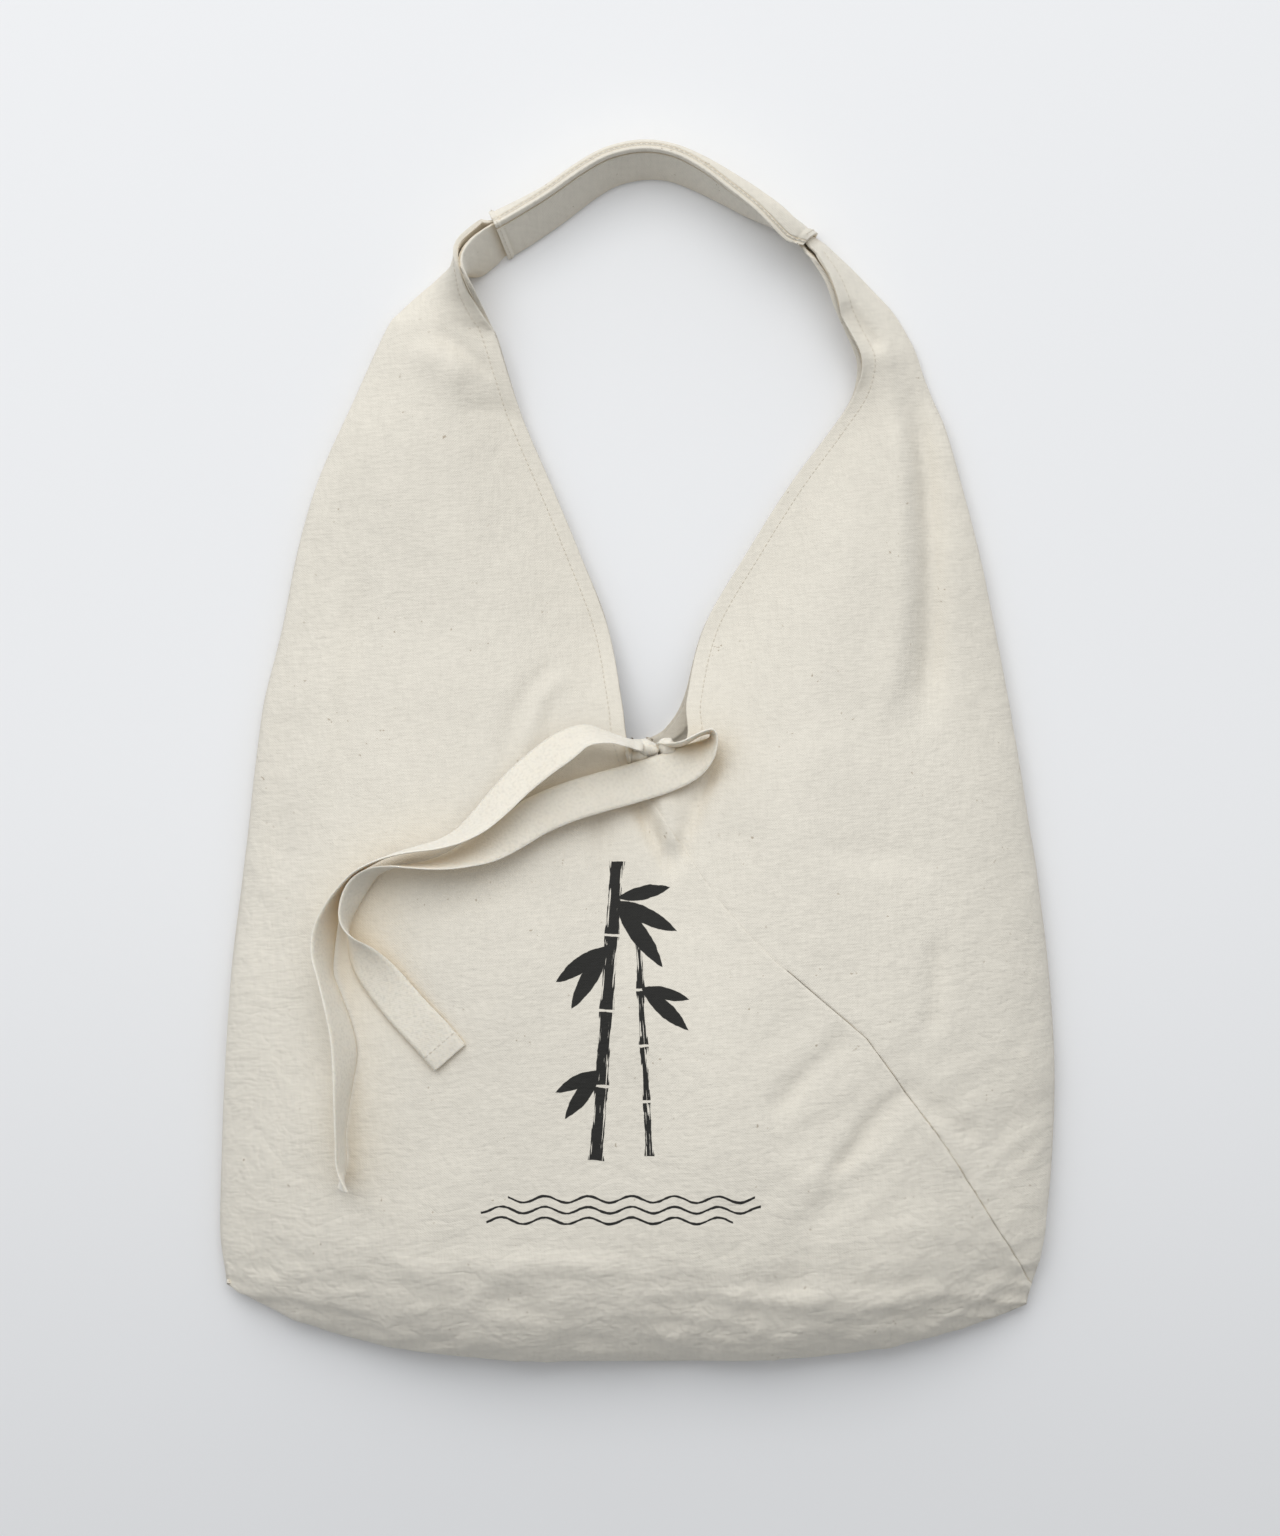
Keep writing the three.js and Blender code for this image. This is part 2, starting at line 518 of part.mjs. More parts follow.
// The band: a flattened sleeve from mouth to mouth.
function bandSolid() {
  const sides = 6;
  const ring = (at, inset) => {
    const s = section(at, inset);
    const shares = [0];
    for (let i = 1; i <= sides; i += 1) shares.push(1 - Math.pow(1 - i / sides, 1.7));
    const front = shares.map((v) => sectionPoint(s, v, true));
    const back = shares.map((v) => sectionPoint(s, v, false));
    return setDown([...front, ...back.reverse().slice(1)], s);
  };
  const steps = [];
  const stepCount = 26;
  for (let i = 0; i <= stepCount; i += 1) steps.push(lerp(leftMouth, rightMouth, i / stepCount));
  const skin = new Skin();
  const rings = [steps.map((at) => ring(at, 0)), steps.map((at) => ring(at, bandWall))];
  const ids = rings.map((set) => set.map((row) => row.map((p) => skin.point(p))));
  const round = ids[0][0].length;
  for (let j = 0; j < stepCount; j += 1)
    for (let i = 0; i < round; i += 1) {
      const n = (i + 1) % round;
      const [outer, inner] = ids;
      skin.quad(outer[j][i], outer[j + 1][i], outer[j + 1][n], outer[j][n]);
      skin.quad(inner[j][i], inner[j][n], inner[j + 1][n], inner[j + 1][i]);
    }
  for (const [j, flip] of [[0, false], [stepCount, true]])
    for (let i = 0; i < round; i += 1) {
      const n = (i + 1) % round;
      const [a, b, c, d] = [ids[0][j][i], ids[0][j][n], ids[1][j][n], ids[1][j][i]];
      if (flip) skin.quad(a, d, c, b);
      else skin.quad(a, b, c, d);
    }
  return skin.geometry();
}

// Height of the highest cloth at a place, found by looking straight down at it.
function heightFinder(meshes) {
  const caster = new THREE.Raycaster();
  const down = new THREE.Vector3(0, 0, -1);
  return (x, y) => {
    caster.set(new THREE.Vector3(x, y, bagLength), down);
    const hits = caster.intersectObjects(meshes, false);
    return hits.length ? hits[0].point.z : 0;
  };
}

// A tape laid along a route over what lies under it.
function tapeGeometry(route, width, stations, heightAt) {
  const rows = [];
  for (let i = 0; i <= stations; i += 1) {
    const at = ((route.length - 1) * i) / stations;
    rows.push({
      x: between(route, "x", at) * bagWidth,
      y: between(route, "up", at) * bagLength,
      tilt: between(route, "tilt", at) * degrees,
      lift: between(route, "lift", at) * width,
    });
  }
  const half = width / 2;
  const across = [-1, 0, 1];
  const spots = [-1, -0.75, -0.5, -0.25, 0, 0.25, 0.5, 0.75, 1];
  const set = rows.map((r, i) => {
    const [p, n] = [rows[Math.max(i - 1, 0)], rows[Math.min(i + 1, stations)]];
    const run = new THREE.Vector2(n.x - p.x, n.y - p.y).normalize();
    const aside = new THREE.Vector3(run.y * Math.cos(r.tilt), -run.x * Math.cos(r.tilt), Math.sin(r.tilt));
    const rests = spots.map(
      (k) => heightAt(r.x + aside.x * k * half, r.y + aside.y * k * half) - aside.z * k * half,
    );
    return { ...r, aside, rest: Math.max(...rests) };
  });
  const near = (list, i) => list.slice(Math.max(i - tapeReach, 0), i + tapeReach + 1);
  const crests = set.map((s, i) => Math.max(...near(set, i).map((n) => n.rest)));
  const eased = set.map((s, i) => {
    const around = near(crests, i);
    const bridge = around.reduce((sum, z) => sum + z, 0) / around.length;
    return { ...s, z: bridge + tapeThickness / 2 + tapeClearance + s.lift };
  });
  const skin = new Skin();
  const ids = eased.map((s, i) => {
    const middle = new THREE.Vector3(s.x, s.y, s.z);
    const [p, n] = [eased[Math.max(i - 1, 0)], eased[Math.min(i + 1, stations)]];
    const along = new THREE.Vector3(n.x - p.x, n.y - p.y, n.z - p.z).normalize();
    const face = s.aside.clone().cross(along).normalize();
    const edge = (k, up) =>
      skin.point(middle.clone().addScaledVector(s.aside, k * half).addScaledVector(face, (up * tapeThickness) / 2));
    return [...across.map((k) => edge(k, 1)), ...across.map((k) => edge(-k, -1))];
  });
  const round = ids[0].length;
  for (let j = 0; j < stations; j += 1)
    for (let i = 0; i < round; i += 1) {
      const n = (i + 1) % round;
      skin.quad(ids[j][i], ids[j][n], ids[j + 1][n], ids[j + 1][i]);
    }
  const first = ids[0];
  const last = ids[stations];
  skin.quad(first[5], first[4], first[1], first[0]);
  skin.quad(first[4], first[3], first[2], first[1]);
  skin.quad(last[0], last[1], last[4], last[5]);
  skin.quad(last[1], last[2], last[3], last[4]);
  return skin.geometry();
}

function named(name, geometry, color, roughness) {
  geometry.computeVertexNormals();
  const mesh = new THREE.Mesh(geometry, new THREE.MeshStandardMaterial({ color, roughness, metalness: 0 }));
  mesh.name = name;
  return mesh;
}

const cloth = manifold(clothSkin().geometry());
const leftPanel = named("left_panel", geometryOf(largest(cloth.intersect(leftSpace(0)))), canvasColour, 0.95);
const rightPanel = named("right_panel", geometryOf(largest(cloth.subtract(leftSpace(seamGap)))), canvasColour, 0.95);
const band = named("carrying_band", bandSolid(), canvasColour, 0.95);
const overPanels = heightFinder([leftPanel, rightPanel]);
const lower = named("lower_tape", tapeGeometry(lowerTape, tapeWidth, tapeSteps, overPanels), tapeColour, 0.9);
const upper = named("upper_tape", tapeGeometry(upperTape, tapeWidth, tapeSteps, overPanels), tapeColour, 0.9);
const overAll = heightFinder([leftPanel, rightPanel, lower, upper]);
const knot = named("half_knot", tapeGeometry(knotTurn, knotTapeWidth, knotSteps, overAll), tapeColour, 0.9);

const bag = new THREE.Group();
bag.add(leftPanel, rightPanel, band, lower, upper, knot);
const middle = new THREE.Box3().setFromObject(bag).getCenter(new THREE.Vector3());
bag.position.set(-middle.x, -middle.y, 0);

export default bag;
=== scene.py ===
"""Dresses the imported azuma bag: creased canvas, sewn edges, tie tapes, ink and soft daylight."""

import math
from collections import namedtuple

import bmesh
import bpy
import numpy as np
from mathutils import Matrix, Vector, noise
from mathutils.bvhtree import BVHTree


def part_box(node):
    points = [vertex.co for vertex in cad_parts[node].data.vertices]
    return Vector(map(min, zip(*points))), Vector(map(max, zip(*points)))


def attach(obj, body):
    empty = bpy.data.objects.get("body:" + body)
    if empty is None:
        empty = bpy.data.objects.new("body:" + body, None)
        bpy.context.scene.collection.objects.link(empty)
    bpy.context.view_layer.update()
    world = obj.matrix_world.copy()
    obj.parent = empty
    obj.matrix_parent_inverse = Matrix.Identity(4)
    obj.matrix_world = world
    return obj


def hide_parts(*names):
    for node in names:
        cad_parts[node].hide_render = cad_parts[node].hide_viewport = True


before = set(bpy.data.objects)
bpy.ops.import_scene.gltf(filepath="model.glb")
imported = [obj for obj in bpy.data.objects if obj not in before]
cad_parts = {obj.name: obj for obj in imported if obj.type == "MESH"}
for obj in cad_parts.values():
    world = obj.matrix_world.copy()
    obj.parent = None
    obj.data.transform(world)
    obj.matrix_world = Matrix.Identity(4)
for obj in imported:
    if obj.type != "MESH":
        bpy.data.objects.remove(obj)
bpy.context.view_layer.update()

bl_info = {
    "name": "Azuma Bag",
    "version": (1, 0, 0),
    "blender": (4, 5, 0),
    "location": "3D View > Sidebar > Azuma Bag",
    "description": "Makes a canvas azuma bag with its tapes, stitches and stage",
    "category": "Add Mesh",
}

# Driving sizes, in metres
BAG_WIDTH = 0.418
BAG_LENGTH = 0.612
BODY_DEPTH = 0.056
SIDE_FOLD_HEIGHT = 0.007
BOTTOM_ROUND = 0.062
BACK_ROUND = 0.022
BAND_WIDTH = 0.030
BAND_THICKNESS = 0.010
BAND_EDGE = 0.0084
BAND_SLIM = 0.0022
BAND_WALL = 0.0018
TIP_INSERT = 0.013
TIP_CLEARANCE = 0.0007
SLEEVE_INSET = BAND_WALL + TIP_CLEARANCE
HEM_WIDTH = 0.009
SEAM_GAP = 0.00016
TAPE_WIDTH = 0.020
TAPE_THICKNESS = 0.0012
TAPE_CLEARANCE = 0.0007
MM = 0.001

# How a section's outline bends
EDGE_SHARPNESS = 2.4
FRONT_FULLNESS = 0.55
BACK_FLATNESS = 0.007
CROWN_AT = 0.45
# How fast the back's pull towards its own neckline fades, across the bag and down it
PULL_POWER = 3
PULL_RISE = 4


def table(names, rows):
    """Named columns from a list of rows."""
    return {name: np.array([row[i] for row in rows], float) for i, name in enumerate(names.split())}


# The body from the bottom fold (up 0) to the foot of the neckline (up 1): its edges in shares of the bag's
# width, and its front's height at the crown and in the middle in shares of the body's depth
BODY = table(
    "up left right crown middle",
    [
        (0.0, -0.492, 0.467, 0.9, 0.88),
        (0.1, -0.4995, 0.485, 0.94, 0.9),
        (0.25, -0.498, 0.496, 1.0, 0.98),
        (0.45, -0.4935, 0.5005, 1.0, 0.97),
        (0.65, -0.485, 0.493, 0.94, 0.87),
        (0.85, -0.4705, 0.478, 0.84, 0.66),
        (1.0, -0.461, 0.4635, 0.76, 0.5),
    ],
)
NECK_FOOT_X = 0.006
NECK_FOOT_UP = 0.471
# How far the bottom fold rises to its corners, and how late across the bag it does
CORNER_RISE = {"left": 0.0625, "right": 0.046}
CORNER_POWER = {"left": 3.3, "right": 3.0}

# The ears, their necks and the band, from the left of the neckline's foot over the band to its right:
# places and widths in shares of the bag, heights in shares of the body's depth, angles in degrees
SPINE = table(
    "x up heading roll spread crown edge back_x back_up",
    [
        (-0.2275, 0.471, 0, 0, 0.3952, 0.585, 0.35, 0.01, 0.0392),
        (-0.2325, 0.506, 0, 0, 0.3713, 0.5, 0.28, -0.012, 0.002),
        (-0.2325, 0.5405, 0, 0, 0.357, 0.43, 0.21, -0.01, 0.0),
        (-0.23, 0.6, 0, 0, 0.3186, 0.32, 0.14, 0, 0),
        (-0.2383, 0.6623, 0, 0, 0.266, 0.27, 0.1, 0, 0),
        (-0.2437, 0.7212, 0, 0, 0.2048, 0.215, 0.08, 0, 0),
        (-0.2413, 0.7776, -2, 0, 0.133, 0.16, 0.065, 0, 0),
        (-0.234, 0.841, -6, 4, 0.062, 0.11, 0.045, 0, 0),
        (-0.2305, 0.8534, -10, 14, 0.04, 0.075, 0.03, 0, 0),
        (-0.2259, 0.8649, -15, 28, 0.02, 0.045, 0.02, 0, 0),
        (-0.2201, 0.8756, -25, 50, 0.012, 0.02, 0.01, 0, 0),
        (-0.2143, 0.8875, -40, 76, 0.02, 0.01, 0, 0, 0),
        (-0.2069, 0.8956, -56, 102, 0.018, 0.01, 0, 0, 0),
        (-0.1927, 0.9037, -67, 121, 0.006, 0, 0, 0, 0),
        (-0.1778, 0.9123, -68, 126, 0, 0, 0, 0, 0),
        (-0.1641, 0.9175, -66, 126, 0, 0, 0, 0, 0),
        (-0.138, 0.9277, -60, 124, 0, 0, 0, 0, 0),
        (-0.1011, 0.9435, -58, 121, 0, 0, 0, 0, 0),
        (-0.0618, 0.963, -57, 119, 0, 0, 0, 0, 0),
        (-0.0297, 0.9752, -66, 118, 0, 0, 0, 0, 0),
        (0.0071, 0.9805, -90, 117, 0, 0, 0, 0, 0),
        (0.0416, 0.978, -107, 114, 0, 0, 0, 0, 0),
        (0.0749, 0.9683, -117, 110, 0, 0.005, 0.018, 0, 0),
        (0.1094, 0.9545, -121, 104, 0, 0.02, 0.05, 0, 0),
        (0.1427, 0.9411, -122, 98, 0, 0.04, 0.07, 0, 0),
        (0.1748, 0.9289, -124, 84, 0, 0.04, 0.065, 0, 0),
        (0.206, 0.9147, -132, 70, 0, 0.01, 0.015, 0, 0),
        (0.2202, 0.9033, -140, 66, 0, 0.005, 0, 0, 0),
        (0.2417, 0.8862, -147, 58, 0.003, 0.015, 0.005, 0, 0),
        (0.2607, 0.8667, -151, 46, 0.007, 0.03, 0.01, 0, 0),
        (0.2791, 0.8487, -156, 35, 0.008, 0.05, 0.02, 0, 0),
        (0.2966, 0.825, -162, 27, 0.0084, 0.07, 0.03, 0, 0),
        (0.3026, 0.8054, -171, 16, 0.0132, 0.09, 0.04, 0, 0),
        (0.305, 0.7858, -178, 6, 0.03, 0.12, 0.05, 0, 0),
        (0.3014, 0.7621, -180, 0, 0.066, 0.15, 0.065, 0, 0),
        (0.2862, 0.7171, -180, 0, 0.1341, 0.2, 0.08, 0, 0),
        (0.2713, 0.6631, -180, 0, 0.2048, 0.27, 0.1, 0, 0),
        (0.2545, 0.601, -180, 0, 0.2766, 0.34, 0.14, 0, 0),
        (0.2521, 0.5405, -180, 0, 0.315, 0.43, 0.21, -0.003, 0.0016),
        (0.2551, 0.506, -180, 0, 0.3258, 0.5, 0.28, -0.022, 0.0123),
        (0.2347, 0.471, -180, 0, 0.3857, 0.585, 0.35, 0.01, 0.0392),
    ],
)
LEFT_MOUTH = 15
RIGHT_MOUTH = 26
SPINE_END = len(SPINE["x"]) - 1

# Seams from below the neckline's foot to the bottom corner, in shares of the bag
FRONT_SEAM = [(0.0934, 0.382), (0.1473, 0.34), (0.2671, 0.27), (0.3629, 0.1806), (0.475, 0.0613)]
BACK_SEAM = [(-0.1, 0.39), (-0.28, 0.25), (-0.492, 0.0665)]
SEAM_RUN_ON = 0.02

# The tapes' routes from the sewn root to the hemmed end: the place in shares of the bag, the tilt in degrees
# and the lift off the cloth in tape widths
ROUTE_COLUMNS = "x up tilt lift"
UPPER_TAPE = table(
    ROUTE_COLUMNS,
    [
        (0.007, 0.5035, -72, 0.5),
        (-0.0093, 0.5052, -78, 0.34),
        (-0.0336, 0.5095, -74, 0.42),
        (-0.0614, 0.5109, -55, 0.5),
        (-0.0869, 0.5016, -40, 0.42),
        (-0.1112, 0.4897, -40, 0.35),
        (-0.1355, 0.4755, -42, 0.3),
        (-0.1587, 0.4596, -45, 0.3),
        (-0.1819, 0.4438, -54, 0.3),
        (-0.205, 0.432, -68, 0.28),
        (-0.2305, 0.4248, -78, 0.25),
        (-0.256, 0.4209, -84, 0.2),
        (-0.2803, 0.4169, -88, 0.15),
        (-0.3047, 0.4106, -92, 0.1),
        (-0.3267, 0.4019, -95, 0.08),
        (-0.3429, 0.3892, -100, 0.05),
        (-0.3556, 0.3734, -110, 0),
        (-0.3638, 0.356, -120, 0),
        (-0.3661, 0.3378, -118, 0),
        (-0.3626, 0.3196, -108, 0),
        (-0.3533, 0.2998, -112, 0),
        (-0.3441, 0.2785, -119, 0),
        (-0.3394, 0.2579, -122, 0),
        (-0.3406, 0.2373, -114, 0),
        (-0.3429, 0.2152, -106, 0),
        (-0.3441, 0.1914, -99, 0),
        (-0.3429, 0.1693, -98, 0),
        (-0.3417, 0.1503, -72, 0),
    ],
)
LOWER_TAPE = table(
    ROUTE_COLUMNS,
    [
        (0.0244, 0.5005, -72, 0.5),
        (0.0372, 0.502, -80, 0.3),
        (0.0546, 0.5052, -84, 0.14),
        (0.0735, 0.512, -86, 0.1),
        (0.0872, 0.5142, -84, 0.06),
        (0.089, 0.5075, -76, 0.02),
        (0.0765, 0.4972, -48, 0),
        (0.056, 0.4878, -24, 0.04),
        (0.0267, 0.4794, -16, 0.08),
        (-0.0081, 0.4722, -14, 0.1),
        (-0.0453, 0.4651, -14, 0.12),
        (-0.0825, 0.4572, -14, 0.12),
        (-0.1173, 0.4468, -14, 0.1),
        (-0.1452, 0.4349, -20, 0.08),
        (-0.1708, 0.4246, -32, 0.04),
        (-0.194, 0.4175, -50, 0),
        (-0.2173, 0.4119, -66, 0),
        (-0.2405, 0.4087, -78, 0),
        (-0.2637, 0.4072, -87, 0),
        (-0.287, 0.4064, -94, 0),
        (-0.3079, 0.4016, -106, 0),
        (-0.3241, 0.3913, -117, 0),
        (-0.3346, 0.377, -114, 0),
        (-0.3392, 0.3627, -100, 0),
        (-0.3334, 0.3484, -74, 0),
        (-0.3172, 0.3326, -38, 0),
        (-0.2951, 0.3143, -14, 0),
        (-0.2672, 0.2921, -4, 0),
        (-0.2405, 0.2731, 0, 0),
        (-0.2173, 0.2548, 0, 0),
    ],
)
# The half knot's gathered turns: middle, width, half length and drop in millimetres, and heading in degrees
Turn = namedtuple("Turn", "x y width half drop heading sink")
KNOT_TURNS = [
    Turn(3.8, 3.0, 14.0, 3.4, 6.4, 78, 0.0),
    Turn(14.4, 3.2, 9.6, 3.9, 6.4, 62, 0.6),
    Turn(0.6, -1.0, 10.0, 3.8, 5.6, 92, 2.2),
    Turn(-4.2, 0.0, 3.2, 4.6, 5.6, 98, 1.4),
]

# Folds of the canvas: a route in millimetres on the laid bag, the fold's half width and its rise
Fold = namedtuple("Fold", "route width rise")
FOLDS = [
    Fold([(120, 205), (125, 173), (129, 144), (130, 110), (130, 75), (127, 38), (120, 0)], 8, 4.1),
    Fold([(137, 196), (142, 165), (146, 140), (147, 110), (147, 75), (146, 40), (144, 2)], 7, -4.8),
    Fold([(100, 224), (108, 216), (116, 208), (124, 199)], 5, -2.8),
    Fold([(93, 214), (100, 204), (107, 192), (111, 180)], 4, 1.6),
    Fold([(-36, 50), (-54, 32), (-63, 12), (-66, -10)], 4.5, -1.7),
    Fold([(-30, 44), (-46, 26), (-54, 8), (-56, -6)], 5, 1.3),
    Fold([(-36, 37), (-43, 24), (-45, 9)], 3.5, -1.5),
    Fold([(-104, 212), (-91, 205), (-79, 196), (-69, 186)], 3.5, -1.6),
    Fold([(-112, 205), (-98, 194), (-84, 184)], 7, 1.5),
    Fold([(-92, 171), (-72, 173), (-56, 166)], 4, -1.2),
    Fold([(-134, 102), (-139, 75), (-143, 36), (-146, -3), (-149, -37)], 7, -2.2),
    Fold([(-4, -6), (0, -22), (5, -35), (13, -50), (18, -66)], 3.6, -3.8),
    Fold([(12, -6), (13, -20), (16, -36), (21, -52)], 6, 3.6),
    Fold([(38, 6), (35, -10), (29, -26), (23, -42), (21, -60)], 3.6, -3.8),
    Fold([(-20, -20), (-19, -36), (-15, -52), (-12, -66)], 5, -2.2),
    Fold([(89, -212), (104, -193), (121, -173), (136, -158)], 5, -2.4),
    Fold([(78, -216), (94, -198), (110, -180)], 5, 2.0),
    Fold([(64, -180), (79, -160), (98, -142), (108, -128)], 5, -2.0),
    Fold([(126, -156), (148, -176), (173, -194)], 5, -2.0),
    Fold([(148, -86), (147, -110), (145, -142)], 5, -2.2),
    Fold([(20, -263), (80, -266), (128, -267), (180, -267)], 6, 2.2),
    Fold([(-150, -248), (-87, -252), (-38, -248), (20, -252)], 5, 1.6),
    Fold([(150, -60), (128, -50), (100, -48), (80, -40)], 8, -1.4),
    Fold([(-168, 30), (-176, -20), (-180, -70)], 9, -1.6),
]


def smooth(t):
    """Eases from 0 to 1."""
    t = np.clip(t, 0, 1)
    return t * t * (3 - 2 * t)


def between(values, at):
    """Values between a table's rows, curving smoothly through them."""
    at = np.asarray(at, float)
    last = len(values) - 1
    i = np.clip(np.floor(at).astype(int), 0, last - 1)
    t = at - i
    a, b, c, d = (values[np.clip(i + step, 0, last)] for step in (-1, 0, 1, 2))
    slope_in = (c - a) / 2
    slope_out = (d - b) / 2
    cube = 2 * (b - c) + slope_in + slope_out
    square = 3 * (c - b) - 2 * slope_in - slope_out
    return ((cube * t + square) * t + slope_in) * t + b


def heights(width, crown, edge, v):
    """Front, back and side fold heights of a section at shares v from its neckline edge."""
    top = edge + (crown - edge) * smooth(v / CROWN_AT)
    fold = np.minimum(crown / 2, SIDE_FOLD_HEIGHT)
    back_power = EDGE_SHARPNESS + np.maximum(0, width - BAND_WIDTH) / BACK_FLATNESS
    front = fold + (top - fold) * np.maximum(0, 1 - v**EDGE_SHARPNESS) ** FRONT_FULLNESS
    back = fold * (1 - np.sqrt(np.maximum(0, 1 - v**back_power)))
    return front, back, fold


def roll_off(distance, reach):
    """From 0 at the bottom fold to 1 at a distance from it."""
    left = 1 - np.minimum(distance / reach, 1)
    return np.sqrt(1 - left * left)


def body_edge(side, up):
    """Where the side fold is, across from the bag's middle."""
    row = np.interp(up, BODY["up"], np.arange(len(BODY["up"])))
    return between(BODY[side], row) * BAG_WIDTH


def body_points(side, up, v, is_front):
    """Points of the body below the neckline's foot, for each row up and share v across."""
    row = np.interp(up, BODY["up"], np.arange(len(BODY["up"])))[:, None]
    up = up[:, None]
    centre = NECK_FOOT_X * BAG_WIDTH
    edge = between(BODY[side], row) * BAG_WIDTH
    crown = between(BODY["crown"], row) * BODY_DEPTH
    middle = between(BODY["middle"], row) * BODY_DEPTH
    bottom = CORNER_RISE[side] * v ** CORNER_POWER[side]
    x = centre + (edge - centre) * v
    y = (bottom + (NECK_FOOT_UP - bottom) * up) * BAG_LENGTH
    front, back, fold = heights(np.abs(edge - centre), crown, middle, v)
    distance = up * NECK_FOOT_UP * BAG_LENGTH
    if is_front:
        z = fold + (front - fold) * roll_off(distance, BOTTOM_ROUND)
    else:
        pull = (1 - v) ** PULL_POWER * up**PULL_RISE
        x = x + SPINE["back_x"][0] * BAG_WIDTH * pull
        y = y + SPINE["back_up"][0] * BAG_LENGTH * pull
        z = fold - (fold - back) * roll_off(distance, BACK_ROUND)
    return np.stack(np.broadcast_arrays(x, y, z), axis=-1)


def section_width(at):
    """Width of the ear, neck or band at a row number of the spine."""
    return BAND_WIDTH + between(SPINE["spread"], at) * BAG_WIDTH


# The right neck's open slot: how high it stays open, how far in, and between which rows of the spine
SLOT_HEIGHT = 0.0049
SLOT_REACH = 0.014
SLOT_START, SLOT_START_ROWS = RIGHT_MOUTH - 0.7, 0.9
SLOT_END, SLOT_END_ROWS = 33.5, 2.2
# Rows of the spine over which the band slims, and how much more its edge does than its crown
SLIM_ROWS = 2
EDGE_SLIM = 1.6 * BAND_SLIM


def drawn_up(at):
    """How far the back's edge is drawn up to the front's along the right neck, from 0 to 1."""
    return smooth((at - SLOT_START) / SLOT_START_ROWS) * (1 - smooth((at - SLOT_END) / SLOT_END_ROWS))


def ear_points(at, v, is_front, inset):
    """Points of the ears, necks and band before they are set down, drawn in by inset."""
    at = np.asarray(at, float)[:, None]
    inset = np.asarray(inset, float)
    inset = inset[:, None] if inset.ndim else inset
    heading = np.radians(between(SPINE["heading"], at))
    roll = np.radians(between(SPINE["roll"], at))
    in_band = np.clip((at - LEFT_MOUTH) / SLIM_ROWS, 0, 1) * np.clip((RIGHT_MOUTH - at) / SLIM_ROWS, 0, 1)
    width = section_width(at) - 2 * inset
    crown = BAND_THICKNESS - BAND_SLIM * in_band + between(SPINE["crown"], at) * BODY_DEPTH - 2 * inset
    edge = BAND_EDGE - EDGE_SLIM * in_band + between(SPINE["edge"], at) * BODY_DEPTH - 2 * inset
    front, back, _ = heights(width, crown, edge, v)
    slot = np.maximum(edge - SLOT_HEIGHT, 0) * drawn_up(at)
    back = back + slot * np.exp(-((v * width / SLOT_REACH) ** 2))
    along = (0.5 - v) * width
    off = (front if is_front else back) - crown / 2
    in_plan = along * np.cos(roll) - off * np.sin(roll)
    pull = 0 if is_front else (1 - v) ** PULL_POWER
    x = between(SPINE["x"], at) * BAG_WIDTH + in_plan * np.cos(heading)
    y = between(SPINE["up"], at) * BAG_LENGTH + in_plan * np.sin(heading)
    x = x + between(SPINE["back_x"], at) * BAG_WIDTH * pull
    y = y + between(SPINE["back_up"], at) * BAG_LENGTH * pull
    z = along * np.sin(roll) + off * np.cos(roll)
    return np.stack(np.broadcast_arrays(x, y, z), axis=-1)


def set_down(points, at, v):
    """Lowers each section so that its uncut outline touches the surface."""
    outline = [ear_points(at, v, is_front, 0)[..., 2].min(axis=1) for is_front in (True, False)]
    points = points.copy()
    points[..., 2] -= np.minimum(*outline)[:, None]
    return points


def spine_length(start, end):
    """Distance in plan between two sections' middles."""
    x, y = (between(SPINE[name], np.array([start, end])) for name in ("x", "up"))
    return math.hypot((x[1] - x[0]) * BAG_WIDTH, (y[1] - y[0]) * BAG_LENGTH)


# The cloth's mesh: rows from the bottom fold to the ear's tip, columns from the neckline round the fold
ROLL_ROWS = 26
BODY_ROWS = 76
EAR_ROWS = 112
CLOTH_COLUMNS = 62
FOLD_CROWDING = 1.2
ROUTE_SAMPLES = 600
# The hem's own columns in shares of its width, which of them is sewn, and its most in a row's width
HEM_STEPS = (0, 0.04, 0.1, 0.2, 0.4, 0.62, 0.8, 0.92)
HEM_LINE = 6
HEM_MOST = 0.3


def row_shares():
    """Shares of the way up the body, closer together where the front rolls down to the bottom."""
    total = NECK_FOOT_UP * BAG_LENGTH
    roll = BOTTOM_ROUND * (1 - np.cos(np.linspace(0, math.pi / 2, ROLL_ROWS)))
    rest = np.linspace(BOTTOM_ROUND, total, BODY_ROWS)
    return np.concatenate([roll, rest[1:-1]]) / total


def column_shares(width):
    """Shares across each row: the hem's own columns, then even ones that close up at the fold."""
    hem = np.minimum(HEM_WIDTH / width, HEM_MOST)[:, None]
    t = np.linspace(0, 1, CLOTH_COLUMNS)
    rest = hem + (1 - hem) * (1 - (1 - t) ** FOLD_CROWDING)
    return np.concatenate([hem * np.array(HEM_STEPS), rest], axis=1)


def ear_stations(side):
    """Row numbers of the spine from the neckline's foot to the mouth, evenly spaced."""
    foot, mouth = (0, LEFT_MOUTH) if side == "left" else (SPINE_END, RIGHT_MOUTH)
    fine = np.linspace(foot, mouth, ROUTE_SAMPLES)
    x = between(SPINE["x"], fine) * BAG_WIDTH
    y = between(SPINE["up"], fine) * BAG_LENGTH
    turn = np.radians(between(SPINE["heading"], fine)) * BAND_WIDTH / 2
    steps = np.hypot(np.hypot(np.diff(x), np.diff(y)), np.diff(turn))
    length = np.concatenate([[0], np.cumsum(steps)])
    at = np.interp(np.linspace(0, length[-1], EAR_ROWS), length, fine)
    way = 1 if mouth > foot else -1
    tip = mouth + way * TIP_INSERT / spine_length(mouth, mouth + way)
    return np.append(at, [(mouth + tip) / 2, tip]), mouth, way


